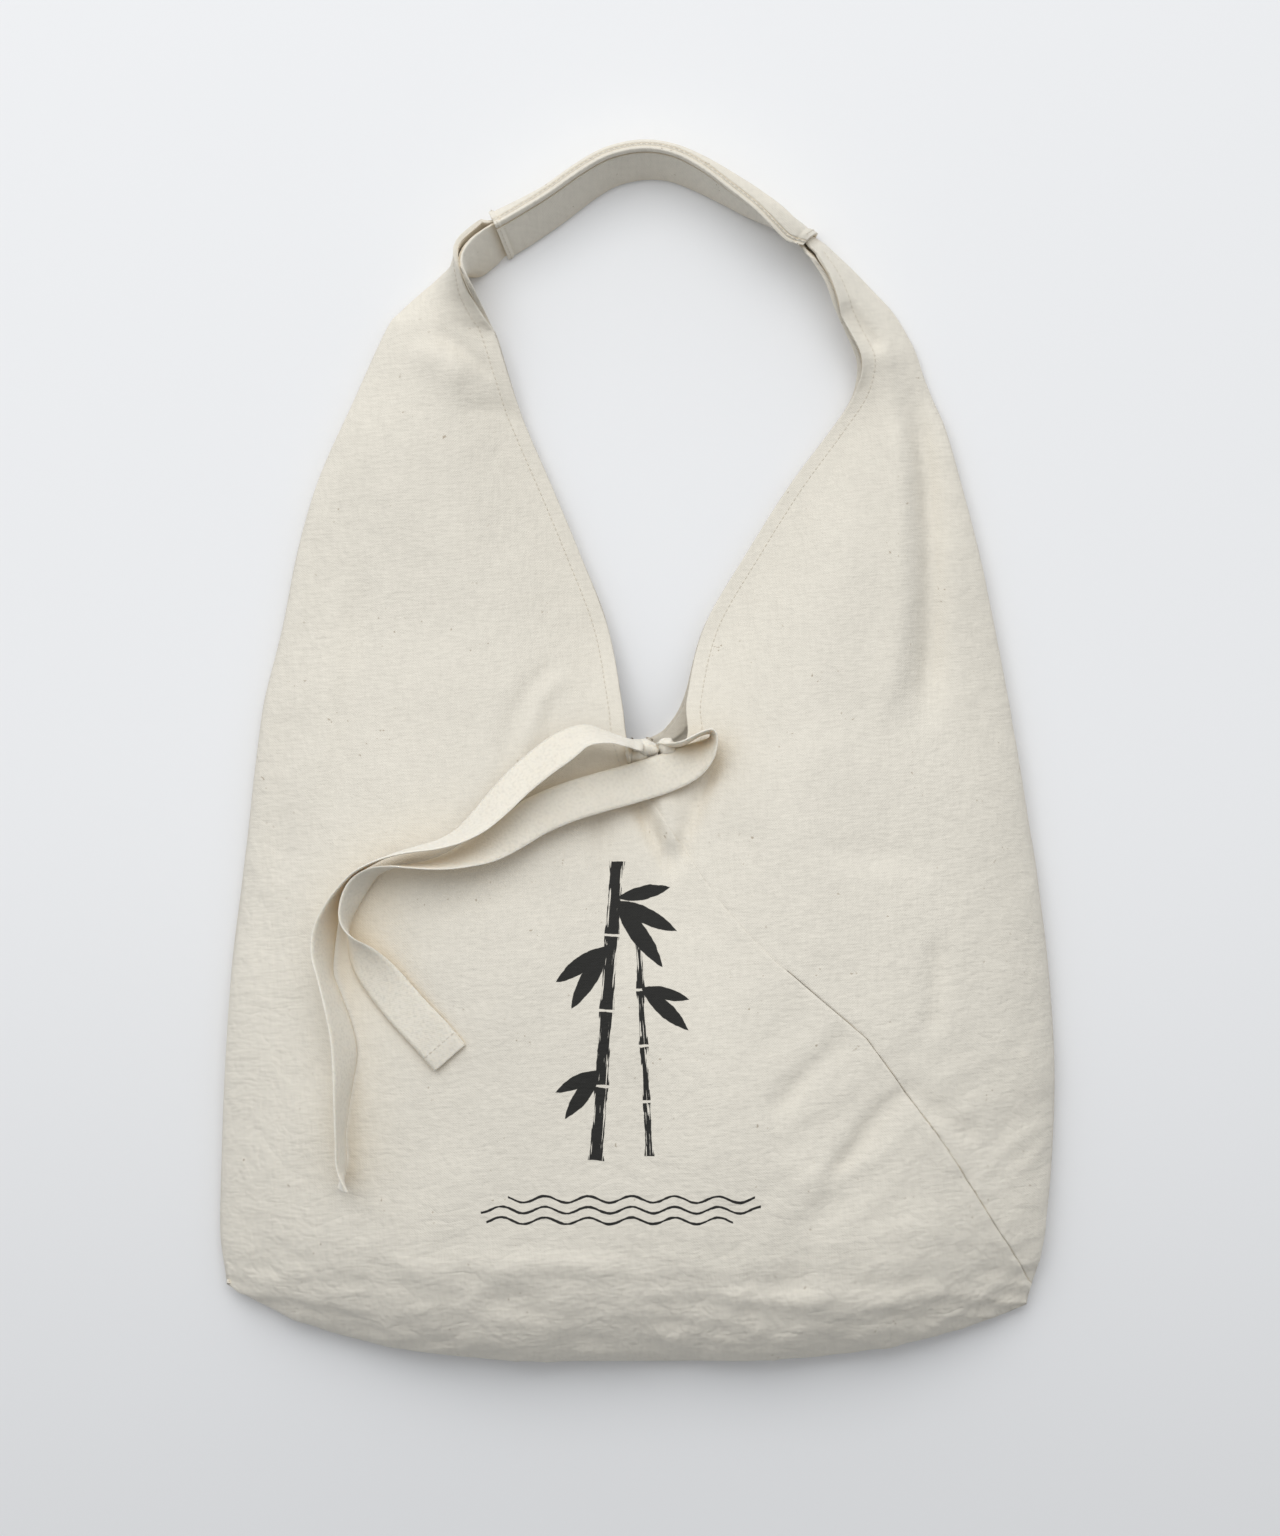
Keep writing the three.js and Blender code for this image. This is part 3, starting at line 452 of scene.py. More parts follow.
def half_cloth(side):
    """One half of the cloth as a grid of points, with each point's distance from the neckline edge."""
    up = row_shares()
    width = np.abs(body_edge(side, up) - NECK_FOOT_X * BAG_WIDTH)
    v = column_shares(width)
    body = [body_points(side, up, v, is_front) for is_front in (True, False)]
    at, mouth, way = ear_stations(side)
    inset = SLEEVE_INSET * smooth(1 + (at - mouth) * way)
    ear_v = column_shares(section_width(at))
    ear = [set_down(ear_points(at, ear_v, is_front, inset), at, ear_v) for is_front in (True, False)]
    front, back = (np.concatenate([body[i], ear[i]]) for i in (0, 1))
    reach = np.concatenate([v * width[:, None], ear_v * section_width(at)[:, None]])
    hemmed = np.concatenate([np.zeros(len(up)), smooth((mouth - at) * way / 2)])
    points = np.concatenate([front, back[:, ::-1][:, 1:]], axis=1)
    reach = np.concatenate([reach, reach[:, ::-1][:, 1:]], axis=1)
    return ease_foot(points, reach, len(up)), reach, hemmed


EASE_PASSES = 40
EASE_ROWS = 9
EASE_FROM = 0.004
EASE_REACH = 0.02


def hump(distance, width):
    """A soft hump of height 1, and of a half width, over a distance."""
    return np.exp(-((distance / width) ** 2))


def ease_foot(points, reach, foot_row):
    """Evens out the bend between body and ear at the foot of the neckline, away from its edge."""
    rows = np.arange(len(points))
    weight = hump(rows - foot_row, EASE_ROWS)[1:-1, None] * smooth((reach[1:-1] - EASE_FROM) / EASE_REACH)
    for _ in range(EASE_PASSES):
        mean = (points[:-2] + 2 * points[1:-1] + points[2:]) / 4
        points[1:-1] += (mean - points[1:-1]) * weight[..., None]
    return points


def clear(name):
    """Removes an earlier object of the name, so that its operator can run again."""
    old = bpy.data.objects.get(name)
    if old:
        bpy.data.objects.remove(old, do_unlink=True)


def add_object(name, mesh):
    clear(name)
    thing = bpy.data.objects.new(name, mesh)
    bpy.context.scene.collection.objects.link(thing)
    return thing


def grid_faces(rows, columns, start=0, flip=False, ring=False):
    """Quads over a grid of points, joined round when ring is set."""
    faces = []
    for j in range(rows - 1):
        for i in range(columns if ring else columns - 1):
            n = (i + 1) % columns
            corners = (j * columns + i, j * columns + n, (j + 1) * columns + n, (j + 1) * columns + i)
            face = tuple(start + c for c in corners)
            faces.append(face[::-1] if flip else face)
    return faces


def frame_shift(points):
    """How far the tables' own origin is from the frame's, from the left panel's lowest corner."""
    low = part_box("left_panel")[0]
    return Vector((low[0] - points[..., 0].min(), low[1] - points[..., 1].min(), 0))


def route_points(shares, shift):
    """A seam's route from the neckline's foot in the frame, run on past its end."""
    points = [(x * BAG_WIDTH + shift.x, up * BAG_LENGTH + shift.y) for x, up in shares]
    (ax, ay), (bx, by) = points[-2:]
    stretch = SEAM_RUN_ON / math.hypot(bx - ax, by - ay)
    return [*points, (bx + (bx - ax) * stretch, by + (by - ay) * stretch)]


def along_route(route, x, y):
    """Signed distance to a route, positive on its left, and the share of the way along it."""
    best = np.full(x.shape, np.inf)
    signed = np.zeros(x.shape)
    share = np.zeros(x.shape)
    lengths = [math.dist(a, b) for a, b in zip(route, route[1:])]
    done = 0
    for (ax, ay), (bx, by), length in zip(route, route[1:], lengths):
        ux, uy = (bx - ax) / length, (by - ay) / length
        t = np.clip((x - ax) * ux + (y - ay) * uy, 0, length)
        dx, dy = x - ax - ux * t, y - ay - uy * t
        gap = np.hypot(dx, dy)
        near = gap < best
        side = np.where(ux * dy - uy * dx >= 0, 1, -1)
        best = np.where(near, gap, best)
        signed = np.where(near, gap * side, signed)
        share = np.where(near, (done + t) / sum(lengths), share)
        done += length
    return signed, share


# Where the cloth is cut beside a seam, how far from it faces are looked for, and from which share of its
# way on the seam stands open
SEAM_CUTS = (-0.0026, -0.0011, -SEAM_GAP / 2, SEAM_GAP / 2, 0.0011, 0.0026)
SEAM_NEAR = 0.008
SEAM_OPENS = 0.34


def cut_seam(bm, layer, is_front, route):
    """Cuts the cloth's front or back along a seam and beside it, and opens the seam's own gap."""
    for offset in SEAM_CUTS:
        for (ax, ay), (bx, by) in zip(route, route[1:]):
            way = Vector((bx - ax, by - ay, 0))
            length = way.length
            way.normalize()
            across = Vector((-way.y, way.x, 0))
            start = Vector((ax, ay, 0)) + across * offset
            faces = []
            for face in bm.faces:
                if face[layer] != is_front:
                    continue
                to = face.calc_center_median() - start
                to.z = 0
                if -SEAM_NEAR < to.dot(way) < length + SEAM_NEAR and abs(to.dot(across)) < SEAM_NEAR:
                    faces.append(face)
            parts = {item for face in faces for item in (face, *face.edges, *face.verts)}
            bmesh.ops.bisect_plane(bm, geom=list(parts), dist=1e-6, plane_co=start, plane_no=across)
    wanted = [face for face in bm.faces if face[layer] == is_front]
    centres = np.array([face.calc_center_median()[:2] for face in wanted])
    signed, share = along_route(route, centres[:, 0], centres[:, 1])
    is_open = (np.abs(signed) < SEAM_GAP / 2) & (share > SEAM_OPENS)
    strip = [face for face, drop in zip(wanted, is_open) if drop]
    bmesh.ops.delete(bm, geom=strip, context="FACES")


def noise_at(x, y, size_x, size_y, seed):
    """Smooth noise over the laid bag, of about -1 to 1, with features of the sizes given."""
    points = np.stack([x / size_x, y / size_y, np.full(x.shape, seed * 7.3)], axis=-1)
    return np.array([noise.noise(Vector(p)) for p in points]) * 2


def ridges_at(x, y, size_x, size_y, seed):
    """Noise with soft backs and sharp valleys, as creased canvas has."""
    return 0.5 - np.abs(noise_at(x, y, size_x, size_y, seed)) * 1.6


# Swells of the slack cloth: height, size across, size along and seed, in millimetres
SWELLS = [(1.2, 70, 90, 1), (0.45, 24, 30, 2), (0.15, 8, 9, 3)]
# The cosine and sine of the way in which the ridges at the lower right run
SLANT = (0.78, 0.62)
# How much of a fold's length it fades over at each end
FOLD_FADE = 0.25


def crease_cloth(x, y, up_facing, seam_route):
    """How far the front stands off its smooth shape at each point, in metres."""
    mx, my = x / MM, y / MM
    rise = sum(height * noise_at(mx, my, *sizes_and_seed) for height, *sizes_and_seed in SWELLS)
    low = smooth((-215 - my) / 45)
    lowest = smooth((-250 - my) / 25)
    rise += (low * 0.75 + lowest * 0.45) * ridges_at(mx, my + 0.05 * mx, 42, 9, 4)
    rise += (low * 0.4 + lowest * 0.3) * ridges_at(mx, my, 14, 20, 5)
    turned_x, turned_y = mx * SLANT[0] + my * SLANT[1], my * SLANT[0] - mx * SLANT[1]
    right_low = smooth((mx - 40) / 50) * smooth((-110 - my) / 60)
    rise += right_low * 0.8 * ridges_at(turned_x, turned_y, 60, 17, 6)
    rise *= 1 - smooth((my - 195) / 20)
    for fold in FOLDS:
        signed, share = along_route(fold.route, mx, my)
        ends = smooth(share / FOLD_FADE) * smooth((1 - share) / FOLD_FADE)
        rise += fold.rise * ends * hump(signed, fold.width)
    signed, share = along_route(seam_route, x, y)
    seam = signed / MM
    pucker = noise_at(share * 300, seam * 0.2, 9, 9, 8)
    shown = 0.5 + 0.5 * smooth((share - 0.2) / 0.3)
    rise += shown * (0.3 + 0.3 * pucker) * hump(seam, 5) * np.where(seam < 0, 1, 0.4)
    rise -= shown * 0.4 * hump(seam, 0.9)
    return rise * MM * smooth(up_facing / 0.5)


def set_values(mesh, name, kind, domain, values):
    """Keeps a value for each of a mesh's points or faces."""
    mesh.attributes.new(name, kind, domain).data.foreach_set("value", values)


def make_cloth():
    """The whole cloth as one open skin, cut along its seams."""
    points, reach, walls, sewn, faces, layers = [], [], [], [], [], []
    start = 0
    for side in ("left", "right"):
        grid, edge_distance, hemmed = half_cloth(side)
        rows, columns = grid.shape[:2]
        faces += grid_faces(rows, columns, start, flip=side == "left")
        front_columns = (columns - 1) // 2
        layers += [int(i < front_columns) for _ in range(rows - 1) for i in range(columns - 1)]
        points.append(grid.reshape(-1, 3))
        reach.append(edge_distance.ravel())
        walls.append(np.repeat(hemmed, columns))
        in_line = np.zeros((rows, columns))
        in_line[:, HEM_LINE] = np.where(hemmed > 0, np.arange(rows), 0)
        sewn.append(in_line.ravel())
        start += rows * columns
    points = np.concatenate(points)
    shift = frame_shift(points)
    mesh = bpy.data.meshes.new("cloth")
    mesh.from_pydata((points + np.array(shift)).tolist(), [], faces)
    set_values(mesh, "is_front", "INT", "FACE", layers)
    for name, parts in (("from_edge", reach), ("hemmed", walls), ("sewn", sewn)):
        set_values(mesh, name, "FLOAT", "POINT", np.concatenate(parts))
    foot = (NECK_FOOT_X, NECK_FOOT_UP)
    back_foot = (NECK_FOOT_X + SPINE["back_x"][0], NECK_FOOT_UP + SPINE["back_up"][0])
    front_route = route_points([foot, *FRONT_SEAM], shift)
    back_route = route_points([back_foot, *BACK_SEAM], shift)
    bm = bmesh.new()
    bm.from_mesh(mesh)
    bmesh.ops.remove_doubles(bm, verts=bm.verts, dist=2e-5)
    layer = bm.faces.layers.int["is_front"]
    cut_seam(bm, layer, 1, front_route)
    cut_seam(bm, layer, 0, back_route)
    bm.to_mesh(mesh)
    bm.free()
    return mesh, front_route, back_route


def attribute_values(mesh, name, size):
    values = np.empty(size, np.float32)
    mesh.attributes[name].data.foreach_get("value", values)
    return values


# How far the neckline's edge sinks towards the back along the ears, and how far in from the edge
NECKLINE_SAG = 0.38
SAG_REACH = 0.034
# The hem: how its edge is rounded, and the sewing line's groove
EDGE_ROUND = 0.0011
EDGE_DROP = 0.0008
HEM_GROOVE = 0.0002
HEM_GROOVE_WIDTH = 0.0009
# Along the bag, where the folds end and where the ears' sag ends
FOLDS_END = 0.222
SAG_END = 0.2


def crease_mesh(mesh, front_route):
    """Moves the cloth's points by its folds, hem and rounded edges."""
    count = len(mesh.vertices)
    at = np.empty(count * 3, np.float32)
    normals = np.empty(count * 3, np.float32)
    mesh.vertices.foreach_get("co", at)
    mesh.vertex_normals.foreach_get("vector", normals)
    at, normals = at.reshape(-1, 3), normals.reshape(-1, 3)
    reach = attribute_values(mesh, "from_edge", count)
    hemmed = attribute_values(mesh, "hemmed", count)
    rise = crease_cloth(at[:, 0], at[:, 1], normals[:, 2], front_route)
    rise *= 1 - smooth((at[:, 1] - FOLDS_END) / 0.008)
    rise -= hemmed * EDGE_DROP * (1 - roll_off(reach, EDGE_ROUND))
    stitch_line = HEM_WIDTH * HEM_STEPS[HEM_LINE]
    rise -= hemmed * HEM_GROOVE * hump(reach - stitch_line, HEM_GROOVE_WIDTH)
    at += normals * rise[:, None]
    along_ear = smooth((at[:, 1] - front_route[0][1] - 0.03) / 0.05) * smooth((SAG_END - at[:, 1]) / 0.04)
    at[:, 2] *= 1 - NECKLINE_SAG * along_ear * hump(reach, SAG_REACH)
    at[:, 2] = np.maximum(at[:, 2], 0)
    mesh.vertices.foreach_set("co", at.ravel())
    mesh.update()


def split_panel(cloth, side, front_route, back_route):
    """One panel's share of the cloth, as its own mesh."""
    bm = bmesh.new()
    bm.from_mesh(cloth)
    layer = bm.faces.layers.int["is_front"]
    drop = []
    for is_front, route in ((1, front_route), (0, back_route)):
        faces = [face for face in bm.faces if face[layer] == is_front]
        centres = np.array([face.calc_center_median()[:2] for face in faces])
        signed, _ = along_route(route, centres[:, 0], centres[:, 1])
        foot_x, foot_y = route[0]
        above = centres[:, 1] > foot_y
        is_left = np.where(above, centres[:, 0] < foot_x, signed < -SEAM_GAP / 3)
        wanted = is_left if side == "left" else ~is_left
        drop += [face for face, keep in zip(faces, wanted) if not keep]
    bmesh.ops.delete(bm, geom=drop, context="FACES")
    mesh = bpy.data.meshes.new(side + "_panel_cloth")
    bm.to_mesh(mesh)
    bm.free()
    return mesh


class Value:
    """A shader socket that works with Python's own operators."""

    def __init__(self, board, socket):
        self.board = board
        self.socket = socket

    def math(self, operation, *others):
        values = dict(enumerate((self, *others)))
        return self.board.make("ShaderNodeMath", {"operation": operation}, values)

    def __add__(self, other):
        return self.math("ADD", other)

    def __sub__(self, other):
        return self.math("SUBTRACT", other)

    def __mul__(self, other):
        return self.math("MULTIPLY", other)

    def __truediv__(self, other):
        return self.math("DIVIDE", other)

    def __rsub__(self, other):
        return self.board.make("ShaderNodeMath", {"operation": "SUBTRACT"}, {0: other, 1: self})

    def __abs__(self):
        return self.math("ABSOLUTE")

    __radd__ = __add__
    __rmul__ = __mul__

    def sin(self):
        return self.math("SINE")

    def root(self):
        return self.math("SQRT")

    def least(self, other):
        return self.math("MINIMUM", other)

    def most(self, other):
        return self.math("MAXIMUM", other)

    def step(self, low, high):
        """0 below low, 1 above high and smooth between."""
        settings = {"interpolation_type": "SMOOTHSTEP"}
        return self.board.make("ShaderNodeMapRange", settings, {0: self, 1: low, 2: high})


# How far red, green and blue light pass into thin cloth, against the depth in metres
GLOW_RADIUS = (1.0, 0.9, 0.78)
GLOW_DEPTH = 0.0016


class Board:
    """The node tree of a material or the sky, built up by one call for each node."""

    def __init__(self, owner):
        self.owner = owner
        owner.use_nodes = True
        self.tree = owner.node_tree
        self.tree.nodes.clear()

    @classmethod
    def named(cls, name):
        return cls(bpy.data.materials.get(name) or bpy.data.materials.new(name))

    def make(self, kind, settings=None, sockets=None, output=0):
        node = self.tree.nodes.new(kind)
        for name, value in (settings or {}).items():
            setattr(node, name, value)
        for key, value in (sockets or {}).items():
            if isinstance(value, Value):
                self.tree.links.new(value.socket, node.inputs[key])
            else:
                node.inputs[key].default_value = value
        return Value(self, node.outputs[output]) if len(node.outputs) else None

    def noise(self, where, size, detail=2):
        """Noise with features of a size in metres."""
        return self.make("ShaderNodeTexNoise", {}, {"Vector": where, "Scale": 1 / size, "Detail": detail})

    def place(self):
        return self.make("ShaderNodeTexCoord", output="Object")

    def split(self, where):
        node = self.make("ShaderNodeSeparateXYZ", {}, {0: where}).socket.node
        return [Value(self, socket) for socket in node.outputs]

    def join(self, x, y, z):
        return self.make("ShaderNodeCombineXYZ", {}, {0: x, 1: y, 2: z})

    def openness(self, reach):
        """From 0 in a crevice to 1 in the open, within a distance in metres."""
        return self.make("ShaderNodeAmbientOcclusion", {"samples": 4}, {"Distance": reach}, output="AO")

    def mix(self, share, a, b):
        """A colour between two, with the share of the second."""
        return self.make("ShaderNodeMix", {"data_type": "RGBA"}, {0: share, 6: a, 7: b}, output=2)

    def finish(self, colour, roughness, height, relief, sheen=0.0, glow=0.0):
        """Ends the tree in a cloth-like surface. relief is how deep the height reaches in metres, and glow is
        the share of the light that passes into the cloth."""
        bump = self.make("ShaderNodeBump", {}, {"Height": height, "Distance": relief, "Strength": 1})
        shader = self.make(
            "ShaderNodeBsdfPrincipled",
            {},
            {
                "Base Color": colour,
                "Roughness": roughness,
                "Normal": bump,
                "Specular IOR Level": 0.25,
                "Sheen Weight": sheen,
                "Sheen Roughness": 0.5,
                "Subsurface Weight": glow,
                "Subsurface Radius": GLOW_RADIUS,
                "Subsurface Scale": GLOW_DEPTH,
            },
        )
        self.make("ShaderNodeOutputMaterial", {}, {"Surface": shader})
        return self.owner


def linear(colour, shade=1.0):
    """A colour for a socket, from one that a person picks on screen."""
    return tuple(((c + 0.055) / 1.055) ** 2.4 * shade for c in colour[:3]) + (1.0,)


def lit(rgb, shade):
    """A tone of a colour, a share as light."""
    return tuple(min(1.0, c * shade) for c in rgb[:3]) + (1.0,)


# Painted shade in crevices: the share of red, green and blue left where the cloth is shut in
CREVICE_PAINTED_SHADE = (0.97, 0.88, 0.75)


def painted_crevice_shade(rgb):
    """Painted shade: the colour darkened and yellowed as warm shade in a crevice would show it."""
    return tuple(c * share for c, share in zip(rgb, CREVICE_PAINTED_SHADE)) + (1.0,)


INK = (0.135, 0.135, 0.128)
SEED_FLECK = (0.24, 0.17, 0.10, 1)
CLOTH_SHEEN = 0.12
TAPE_GLOW = 0.6
# How deep each finish's relief is, in metres
CANVAS_RELIEF = 0.00042
TAPE_RELIEF = 0.00025
FINE_RELIEF = 0.0001
# The ribs of the tape's twill, across it and along it
RIB_ACROSS = 0.0011
RIB_ALONG = 0.0016
THREAD_SHADE = 0.9
# Painted shade on the floor along the bag: how dark it is at the near end, and between where it changes
FLOOR_SHADE = 0.86
FLOOR_FADE = (-0.5, 0.05)

# The ink on the front, in metres on the laid bag
MOTIF_AT = (-0.008, -0.124)
# Bamboo stalks: foot, heading in degrees, length, half width and the length between its nodes
Stalk = namedtuple("Stalk", "x y heading length width node")
STALKS = [
    Stalk(-0.012, -0.074, 86, 0.146, 0.0031, 0.0365),
    Stalk(0.014, -0.072, 93, 0.108, 0.0017, 0.027),
]
NODE_GAP = 0.0011
NODE_FLARE = 0.0009
NODE_REACH = 0.2
DRY_STREAK = 0.012
# The leaves: where each starts, its heading in degrees, its length and half width
Leaf = namedtuple("Leaf", "x y heading length width")
LEAVES = [
    Leaf(-0.003, 0.052, 334, 0.034, 0.0040),
    Leaf(-0.003, 0.052, 306, 0.040, 0.0044),
    Leaf(-0.002, 0.053, 12, 0.027, 0.0034),
    Leaf(-0.006, 0.030, 214, 0.031, 0.0039),
    Leaf(-0.006, 0.031, 240, 0.036, 0.0042),
    Leaf(0.010, 0.010, 318, 0.031, 0.0037),
    Leaf(0.010, 0.010, 346, 0.024, 0.0030),
    Leaf(-0.010, -0.030, 206, 0.024, 0.0032),
    Leaf(-0.010, -0.030, 234, 0.029, 0.0037),
]
WAVES_AT = (-0.008, -0.2215)
WAVE_REACH = 0.068
WAVE_LENGTH = 0.021
WAVE_SWING = 0.0016
WAVE_GAP = 0.0052
WAVE_STROKE = 0.00065
WAVE_SHORTER = 0.008
# The ink's ragged edge, and the height above which the cloth is the front
INK_WOBBLE = 0.0011
INK_EDGE = (-0.00012, 0.00018)
FRONT_ABOVE = (0.018, 0.022)


def leaf_shape(x, y, leaf):
    """Positive inside a leaf, the space shared by two circles."""
    turn = math.radians(leaf.heading)
    cos, sin = math.cos(turn), math.sin(turn)
    along = (x - leaf.x) * cos + (y - leaf.y) * sin - leaf.length / 2
    aside = (y - leaf.y) * cos - (x - leaf.x) * sin
    half, wide = leaf.length / 2, leaf.width
    radius = (half * half + wide * wide) / (2 * wide)
    reach = abs(aside) + (radius - wide)
    return radius - (along * along + reach * reach).root()


def stalk_shape(board, x, y, stalk):
    """Positive inside a stalk, which flares a little at each of its nodes."""
    turn = math.radians(stalk.heading)
    cos, sin = math.cos(turn), math.sin(turn)
    along = (x - stalk.x) * cos + (y - stalk.y) * sin
    aside = (y - stalk.y) * cos - (x - stalk.x) * sin
    step = along.math("FLOORED_MODULO", stalk.node)
    to_node = step.least(stalk.node - step)
    flare = (1 - to_node / (stalk.node * NODE_REACH)).most(0) * NODE_FLARE
    streaks = board.noise(board.join(along * 0.05, aside, 0), 0.0009, 2)
    dry = (streaks - 0.5).most(0) * DRY_STREAK
    side = stalk.width + flare - abs(aside) - dry
    ends = along.least(stalk.length - along)
    return side.least(to_node - NODE_GAP / 2).least(ends)


def ink_mask(board, where):
    """1 where the front is inked: bamboo with its leaves, over three thin waves."""
    x, y, z = board.split(where)
    wobble = (board.noise(where, 0.004, 3) - 0.5) * INK_WOBBLE
    mx, my = x - MOTIF_AT[0], y - MOTIF_AT[1]
    shapes = [stalk_shape(board, mx, my, stalk) for stalk in STALKS]
    shapes += [leaf_shape(mx, my, leaf) for leaf in LEAVES]
    wx, wy = x - WAVES_AT[0], y - WAVES_AT[1]
    swing = (wx * (2 * math.pi / WAVE_LENGTH)).sin() * WAVE_SWING
    for row in (-1, 0, 1):
        reach = WAVE_REACH - abs(wx - row * WAVE_LENGTH / 4) - abs(row) * WAVE_SHORTER
        shapes.append((WAVE_STROKE - abs(wy - swing - row * WAVE_GAP)).least(reach))
    shape = shapes[0]
    for other in shapes[1:]:
        shape = shape.most(other)
    return (shape + wobble).step(*INK_EDGE) * z.step(*FRONT_ABOVE)


# The weave: from one thread to the next, how far it is turned and wanders, and how long its slubs are drawn
THREAD_PITCH = 0.00125
WEAVE_TURN = math.radians(4)
WEAVE_WANDER = 0.0012
SLUB_STRETCH = 0.28


def canvas_relief(board, where):
    """Height of the weave and slubs, of about 0 to 1.6."""
    x, y, _ = board.split(where)
    wander = (board.noise(where, 0.012, 2) - 0.5) * WEAVE_WANDER
    across = x * math.cos(WEAVE_TURN) + y * math.sin(WEAVE_TURN) + wander
    along = y * math.cos(WEAVE_TURN) - x * math.sin(WEAVE_TURN) - wander
    pitch = 2 * math.pi / THREAD_PITCH
    weave = (across * pitch).sin() * (along * pitch).sin()
    weft = board.noise(board.join(across * SLUB_STRETCH, along, 0), 0.0016, 3)
    warp = board.noise(board.join(across, along * SLUB_STRETCH, 1), 0.0019, 3)
    return weave * 0.10 + weft * 0.75 + warp * 0.75


# Where washing crumples the cloth more: between which distances from the bag's middle, in metres
CRUMPLED_SIDES = (0.09, 0.2)
CRUMPLED_LOWER = (-0.05, 0.26)
CRUMPLED_FOLD = (0.24, 0.29)


def washed_relief(board, where):
    """Height of the small crumples that washing leaves, stronger towards the bottom and the sides."""
    x, y, _ = board.split(where)
    down = 0 - y
    outer = abs(x).step(*CRUMPLED_SIDES)
    amount = down.step(*CRUMPLED_LOWER) * 0.75 + outer * 0.4 + down.step(*CRUMPLED_FOLD) * 0.9 + 0.32
    bent = board.noise(where, 0.05, 1) * 0.02
    flat = board.noise(board.join(x * 0.55 + bent, y + bent, 3), 0.0095, 2)
    steep = board.noise(board.join(x + y * 0.5, y * 0.6 + bent, 5), 0.0105, 2)
    ridges = abs(flat - 0.5) + abs(steep - 0.5) * 0.8
    return (ridges.least(0.22) * 2.6 + board.noise(where, 0.0026, 2) * 0.5) * amount


def canvas_material(name, colour, inked=False, shade=1.0):
    """Unbleached canvas with slubs, mottling, a few seed flecks and painted shade in its crevices. shade
    darkens the whole colour as painted shade.
    """
    board = Board.named(name)
    where = board.place()
    relief = canvas_relief(board, where)
    base = linear(colour, shade)
    cloudy = board.noise(where, 0.09, 3)
    tone = board.mix(cloudy.step(0.3, 0.75), lit(base, 0.965), lit(base, 1.02))
    fibre = (relief - 0.75) * 0.55 + 0.5
    tone = board.mix(fibre.step(0.05, 0.75), lit(base, 0.83), tone)
    fleck_noise = board.noise(where, 0.0022, 1)
    rare = board.noise(where, 0.016, 1).step(0.6, 0.66)
    flecks = fleck_noise.step(0.70, 0.76) * rare * 0.55
    tone = board.mix(flecks, tone, SEED_FLECK)
    # Painted shade: the colour darkens and yellows in crevices, as far as each spot is shut in
    tone = board.mix(board.openness(0.03).step(0.1, 0.9), painted_crevice_shade(base), tone)
    roughness = 0.86 + cloudy * 0.08
    if inked:
        ink = ink_mask(board, where)
        worn = ink * (1 - (relief - 1.02).most(0) * 1.2).least(1)
        tone = board.mix(worn, tone, linear(INK))
        roughness = roughness - ink * 0.18
    height = relief + washed_relief(board, where)
    return board.finish(tone, roughness, height, CANVAS_RELIEF, CLOTH_SHEEN)


def tape_material(name, colour):
    """Fine twill tape, ribbed along its length by its UV map, with painted shade in its crevices."""
    board = Board.named(name)
    uv = board.make("ShaderNodeUVMap", {"uv_map": "UVMap"})
    u, v, _ = board.split(uv)
    where = board.place()
    slub = board.noise(where, 0.0015, 3)
    rib = (u * (2 * math.pi / RIB_ACROSS) + v * (2 * math.pi / RIB_ALONG)).sin()
    relief = rib * 0.05 + slub
    base = linear(colour)
    cloudy = board.noise(where, 0.035, 2)
    tone = board.mix(cloudy.step(0.3, 0.7), lit(base, 0.95), base)
    tone = board.mix(relief.step(0.2, 0.6), lit(base, 0.86), tone)
    # Painted shade: the colour darkens and yellows in crevices, as far as each spot is shut in
    tone = board.mix(board.openness(0.02).step(0.1, 0.8), painted_crevice_shade(base), tone)
    return board.finish(tone, 0.84 + slub * 0.08, relief, TAPE_RELIEF, CLOTH_SHEEN, TAPE_GLOW)


def thread_material(name, colour):
    """Cotton thread, in tones as its twist turns."""
    board = Board.named(name)
    where = board.place()
    twist = board.noise(where, 0.0008, 2)
    tone = board.mix(twist, linear(colour, THREAD_SHADE * 0.85), linear(colour, THREAD_SHADE))
    return board.finish(tone, 0.7 + twist * 0.1, twist, FINE_RELIEF)


def floor_material(name, colour):
    """A matt pale surface, with painted shade that makes it a little darker towards the near end."""
    board = Board.named(name)
    where = board.place()
    cloudy = board.noise(where, 0.4, 2)
    _, y, _ = board.split(where)
    # Painted shade: the floor's colour darkens towards the near end, as though less light fell there
    tone = board.mix((y + cloudy * 0.05).step(*FLOOR_FADE), linear(colour, FLOOR_SHADE), linear(colour))
    return board.finish(tone, 0.9 + cloudy * 0.02, cloudy, FINE_RELIEF)


WINDOW_WAY = (-0.1, 0.8, 0.6)
SKY_FADE = (-0.5, 1.0)
SKY_COLOUR = (0.985, 0.992, 1.0, 1)


def light_sky(world, stage):
    """An even sky that is brighter over the bag's top end, as beside a large window."""
    board = Board(world)
    way = board.make("ShaderNodeTexCoord", output="Generated")
    toward = Vector(WINDOW_WAY).normalized()
    facing = board.make("ShaderNodeVectorMath", {"operation": "DOT_PRODUCT"}, {0: way, 1: toward}, "Value")
    strength = facing.step(*SKY_FADE) * (stage.sky_strength - stage.dim_strength) + stage.dim_strength
    sky = board.make("ShaderNodeBackground", {}, {"Color": SKY_COLOUR, "Strength": strength})
    board.make("ShaderNodeOutputWorld", {}, {"Surface": sky})


WALL_LEVELS = 20
HEM_STEP = 0.0012


